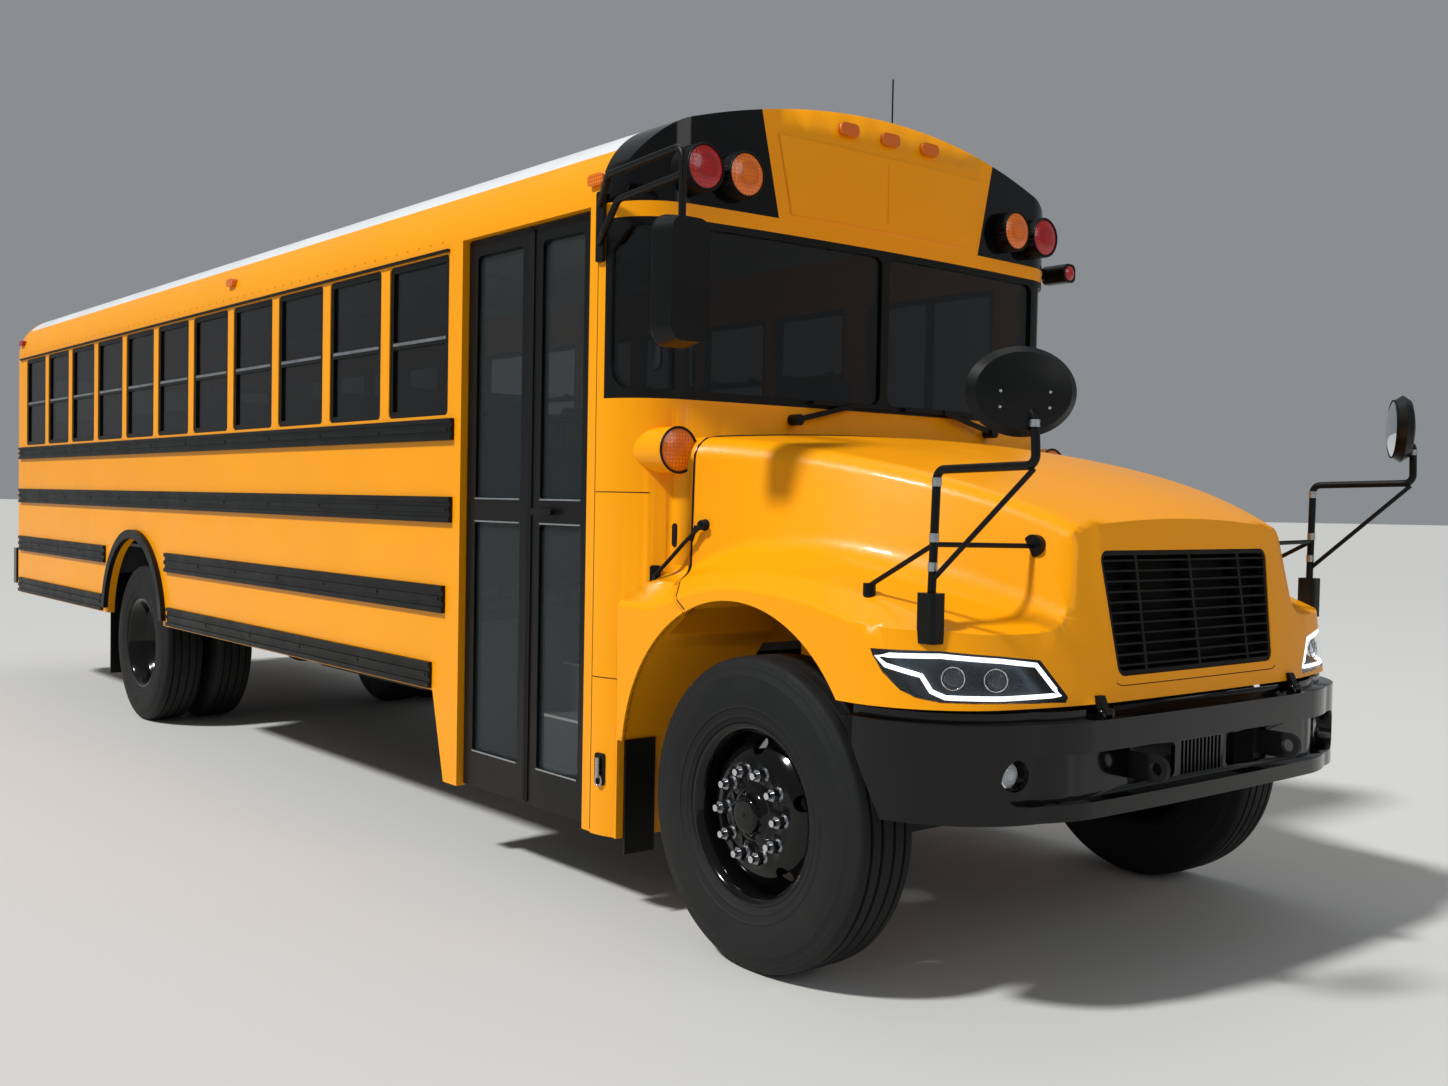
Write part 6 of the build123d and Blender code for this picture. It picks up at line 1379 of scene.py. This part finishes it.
class BUS_OT_seats(bpy.types.Operator):
    """Upholsters the benches and the driver's seat in stuffed vinyl, on steel legs"""

    bl_idname = "bus.seats"
    bl_label = "Seats"
    bench_count = 11
    bench_front = front_axle_x - 2.330
    bench_y = 0.722
    pitch = 0.640
    depth = 0.400
    width = 0.880
    seat_z = 1.440
    thick = 0.100
    back_height = 0.640
    back_thick = 0.075
    lean = 0.040
    leg = 0.032
    leg_y = 0.380
    leg_z = 1.175
    # The wheel boxes, where a bench has no outer leg: middle and half length
    box_x = rear_axle_x + 0.055
    box_half = 0.620
    driver = Vector((front_axle_x - 1.480, 0.620, 0))

    def execute(self, context):
        cushions, backs, legs = [], [], []
        tilt = atan2(self.lean, self.back_height)
        facing = Vector((cos(tilt), 0, sin(tilt)))
        for side in SIDES:
            y = side * self.bench_y
            for k in range(self.bench_count):
                x = self.bench_front - k * self.pitch
                cushions.append(((x - self.depth / 2, y, self.seat_z - self.thick / 2), UP))
                back_x = x - self.depth - self.back_thick / 2 - self.lean / 2
                backs.append(((back_x, y, self.seat_z + self.back_height / 2), facing))
                for leg_x in (x - 0.060, x - self.depth + self.leg / 2 + 0.001):
                    legs.append((leg_x, y - side * self.leg_y, self.leg_z))
                    if abs(leg_x - self.box_x) >= self.box_half + self.leg:
                        legs.append((leg_x, y + side * self.leg_y, self.leg_z))
        seat = [(self.driver + UP * 1.395, UP)]
        rest = [(self.driver + Vector((-0.195, 0, 1.81)), Vector((1, 0, 0)))]
        bench_back = (self.back_height, self.width, self.back_thick)
        rows = (
            ("bench_cushions", cushions, (self.depth, self.width, self.thick), 0.032, 0.008),
            ("bench_backs", backs, bench_back, 0.034, 0.006),
            ("driver_cushion", seat, (0.480, 0.500, 0.110), 0.04, 0.012),
            ("driver_back", rest, (0.720, 0.480, 0.090), 0.04, 0.012),
        )
        pads = cushion_tree()
        for name, spots, size, edge, full in rows:
            inputs = {"Size": size, "Edge": edge, "Fullness": full}
            obj = grown(name, spots, pads, inputs, "vinyl", "chassis", ["seats"], 60)
        stand = [self.driver + UP * self.leg_z]
        for name, points, size in (
            ("bench_legs", legs, (self.leg, self.leg, 0.330)),
            ("driver_pedestal", stand, (0.26, 0.30, 0.328)),
        ):
            blocks(name, points, size, "powder", "chassis", ["seats"])
        return {"FINISHED"}


class BUS_OT_windows(bpy.types.Operator):
    """Fits the side windows' bright meeting rails and their latches"""

    bl_idname = "bus.windows"
    bl_label = "Window trim"
    count = 11
    pitch = 0.6565
    post = 0.088
    front = -2.035

    def execute(self, context):
        rails, latches = [], []
        middle_x = self.front - (self.count * self.pitch - self.post) / 2
        for side in SIDES:
            for k in range(self.count):
                x = middle_x + (k - self.count // 2) * self.pitch
                rails.append(at(x, side * 1.2135, 2.246))
                latches += [at(x + shift, side * 1.176, 2.262) for shift in (-0.17, 0.17)]
        blocks("meeting_rails", rails, (0.506, 0.004, 0.014), "bright", "chassis")
        size = (0.05, 0.012, 0.018)
        blocks("window_latches", latches, size, "powder", "chassis")
        return {"FINISHED"}


class BUS_OT_entrance(bpy.types.Operator):
    """Fits the entrance: bright edges round the door's glass, white step edges and a handrail"""

    bl_idname = "bus.entrance"
    bl_label = "Entrance"
    # Each leaf's body, its rear and front edges, and the edge that meets the other leaf
    leaves = (("door_front", -1.394, -0.953, -1.388), ("door_rear", -1.909, -1.400, -1.406))
    stile = 0.074
    treads = (0.400, 0.605, 0.808, 1.010)
    tread_pitch = 0.195
    handrail = (
        (-0.960, -1.06, 0.86),
        (-0.965, -1.04, 0.90),
        (-0.975, -0.95, 1.35),
        (-0.980, -0.60, 1.80),
        (-0.985, -0.56, 1.80),
    )

    def execute(self, context):
        for body, rear, front, seal in self.leaves:
            edges = [at((rear + front) / 2, -1.1905, z) for z in (1.545, 1.449, 0.466)]
            size = (front - rear - 2 * self.stile, 0.004, 0.006)
            blocks(body + "_edges", edges, size, "bright", body)
            size = (0.016, 0.006, 2.30)
            blocks(body + "_seal", [at(seal, -1.1915, 1.475)], size, "seal", body)
        steps = []
        for k, z in enumerate(self.treads):
            steps.append(at(-1.431, -1.084 + k * self.tread_pitch, z + 0.0015))
        blocks("step_edges", steps, (0.90, 0.030, 0.003), "handrail", "chassis")
        bm = bmesh.new()
        bead(bm, [at(*point) for point in self.handrail], 0.015, 12)
        piece("entrance_handrail", bm, ["bright"], "chassis", angle=60)
        return {"FINISHED"}


class BUS_OT_stage(bpy.types.Operator):
    """Sets the floor, the lights and the camera"""

    bl_idname = "bus.stage"
    bl_label = "Stage"
    floor_half = 400
    # The camera that the photograph was taken with
    camera_place = (7.797, -4.230, 1.552)
    camera_turn = radians(140.55)
    camera_pitch = radians(-1.68)
    camera_roll = radians(1.05)
    photo_width = 1448
    focal_pixels = 1423.6

    def floor(self, scene, shade):
        mesh = bpy.data.meshes.new("studio_floor")
        bm = bmesh.new()
        bmesh.ops.create_grid(bm, x_segments=1, y_segments=1, size=self.floor_half)
        bm.to_mesh(mesh)
        bm.free()
        material = new_finish("studio_floor_paint")[0]
        mesh.materials.append(shaded(material, {"Base Color": tuple(shade), "Roughness": 0.75}))
        floor = bpy.data.objects.new("studio_floor", mesh)
        scene.collection.objects.link(floor)
        floor.location.z = packed_box[0].z - 0.001

    def light(self, scene, name, place, target, size, power):
        """A sun by its angle in degrees, or a round soft light by its width."""
        data = bpy.data.lights.new(name + "_light", "SUN" if name == "key" else "AREA")
        if name == "key":
            data.angle = radians(size)
        else:
            data.shape = "DISK"
            data.size = size
        data.energy = power
        light = bpy.data.objects.new(name + "_light", data)
        light.location = place
        light.rotation_mode = "QUATERNION"
        light.rotation_quaternion = (Vector(target) - Vector(place)).to_track_quat("-Z", "Y")
        scene.collection.objects.link(light)

    def camera(self, scene):
        turn, pitch, roll = self.camera_turn, self.camera_pitch, self.camera_roll
        ahead = Vector((cos(pitch) * cos(turn), cos(pitch) * sin(turn), sin(pitch)))
        level = Vector((sin(turn), -cos(turn), 0))
        upright = level.cross(ahead)
        right = cos(roll) * level + sin(roll) * upright
        up = cos(roll) * upright - sin(roll) * level
        data = bpy.data.cameras.new("photo_camera")
        data.sensor_width = 36.0
        data.lens = 36.0 * self.focal_pixels / self.photo_width
        data.clip_end = 200
        camera = bpy.data.objects.new("photo_camera", data)
        turned = Matrix((right, up, -ahead)).transposed().to_4x4()
        turned.translation = Vector(self.camera_place)
        camera.matrix_world = turned
        scene.collection.objects.link(camera)
        scene.camera = camera

    def execute(self, context):
        scene = context.scene
        sizes = scene.bus_stage
        self.floor(scene, sizes.floor)
        scene.world = bpy.data.worlds.new("studio_room")
        scene.world.use_nodes = True
        tree = scene.world.node_tree
        tree.nodes.clear()
        room = {"Color": linear("E4E9EE"), "Strength": sizes.fill}
        back = add_node(tree, "ShaderNodeBackground", room)
        add_node(tree, "ShaderNodeOutputWorld", {"Surface": back.outputs[0]})
        self.light(scene, "key", (-1.5, -13.0, 17.0), (1.0, 0.0, 1.2), 6.0, sizes.key)
        self.light(scene, "front", (17.0, 2.0, 8.0), (3.0, 0.0, 1.4), 7.0, sizes.soft)
        self.light(scene, "top", (-2.0, 3.0, 14.0), (0.0, 0.0, 2.0), 10.0, sizes.soft)
        self.camera(scene)
        scene.view_settings.view_transform = "Standard"
        return {"FINISHED"}


class BUS_PT_panel(bpy.types.Panel):
    """Lists the bus's sizes, colours and operators"""

    bl_idname = "BUS_PT_panel"
    bl_label = "School Bus"
    bl_space_type = "VIEW_3D"
    bl_region_type = "UI"
    bl_category = "School Bus"

    def draw(self, context):
        for key in GROUPS:
            group = getattr(context.scene, key)
            box = self.layout.box()
            for name in group.__annotations__:
                box.prop(group, name)
        for cls in STEPS:
            self.layout.operator(cls.bl_idname)


GROUPS = {
    "bus_paint": BUS_PG_paint,
    "bus_tyres": BUS_PG_tyres,
    "bus_lamps": BUS_PG_lamps,
    "bus_rivets": BUS_PG_rivets,
    "bus_stage": BUS_PG_stage,
}
STEPS = (
    BUS_OT_coachwork,
    BUS_OT_cap,
    BUS_OT_plain,
    BUS_OT_wheels,
    BUS_OT_tyres,
    BUS_OT_lamps,
    BUS_OT_headlamps,
    BUS_OT_mirrors,
    BUS_OT_mirror_fittings,
    BUS_OT_grille,
    BUS_OT_seals,
    BUS_OT_latches,
    BUS_OT_stop_arm,
    BUS_OT_fastenings,
    BUS_OT_seats,
    BUS_OT_windows,
    BUS_OT_entrance,
    BUS_OT_stage,
)


def register():
    for cls in (*GROUPS.values(), *STEPS, BUS_PT_panel):
        bpy.utils.register_class(cls)
    for key, cls in GROUPS.items():
        setattr(bpy.types.Scene, key, PointerProperty(type=cls))


def unregister():
    for key in GROUPS:
        delattr(bpy.types.Scene, key)
    for cls in (BUS_PT_panel, *reversed(STEPS), *GROUPS.values()):
        bpy.utils.unregister_class(cls)


def main():
    register()
    FINISH.update(finishes())
    for cls in STEPS:
        group, name = cls.bl_idname.split(".")
        getattr(getattr(bpy.ops, group), name)()


if __name__ == "__main__":
    main()
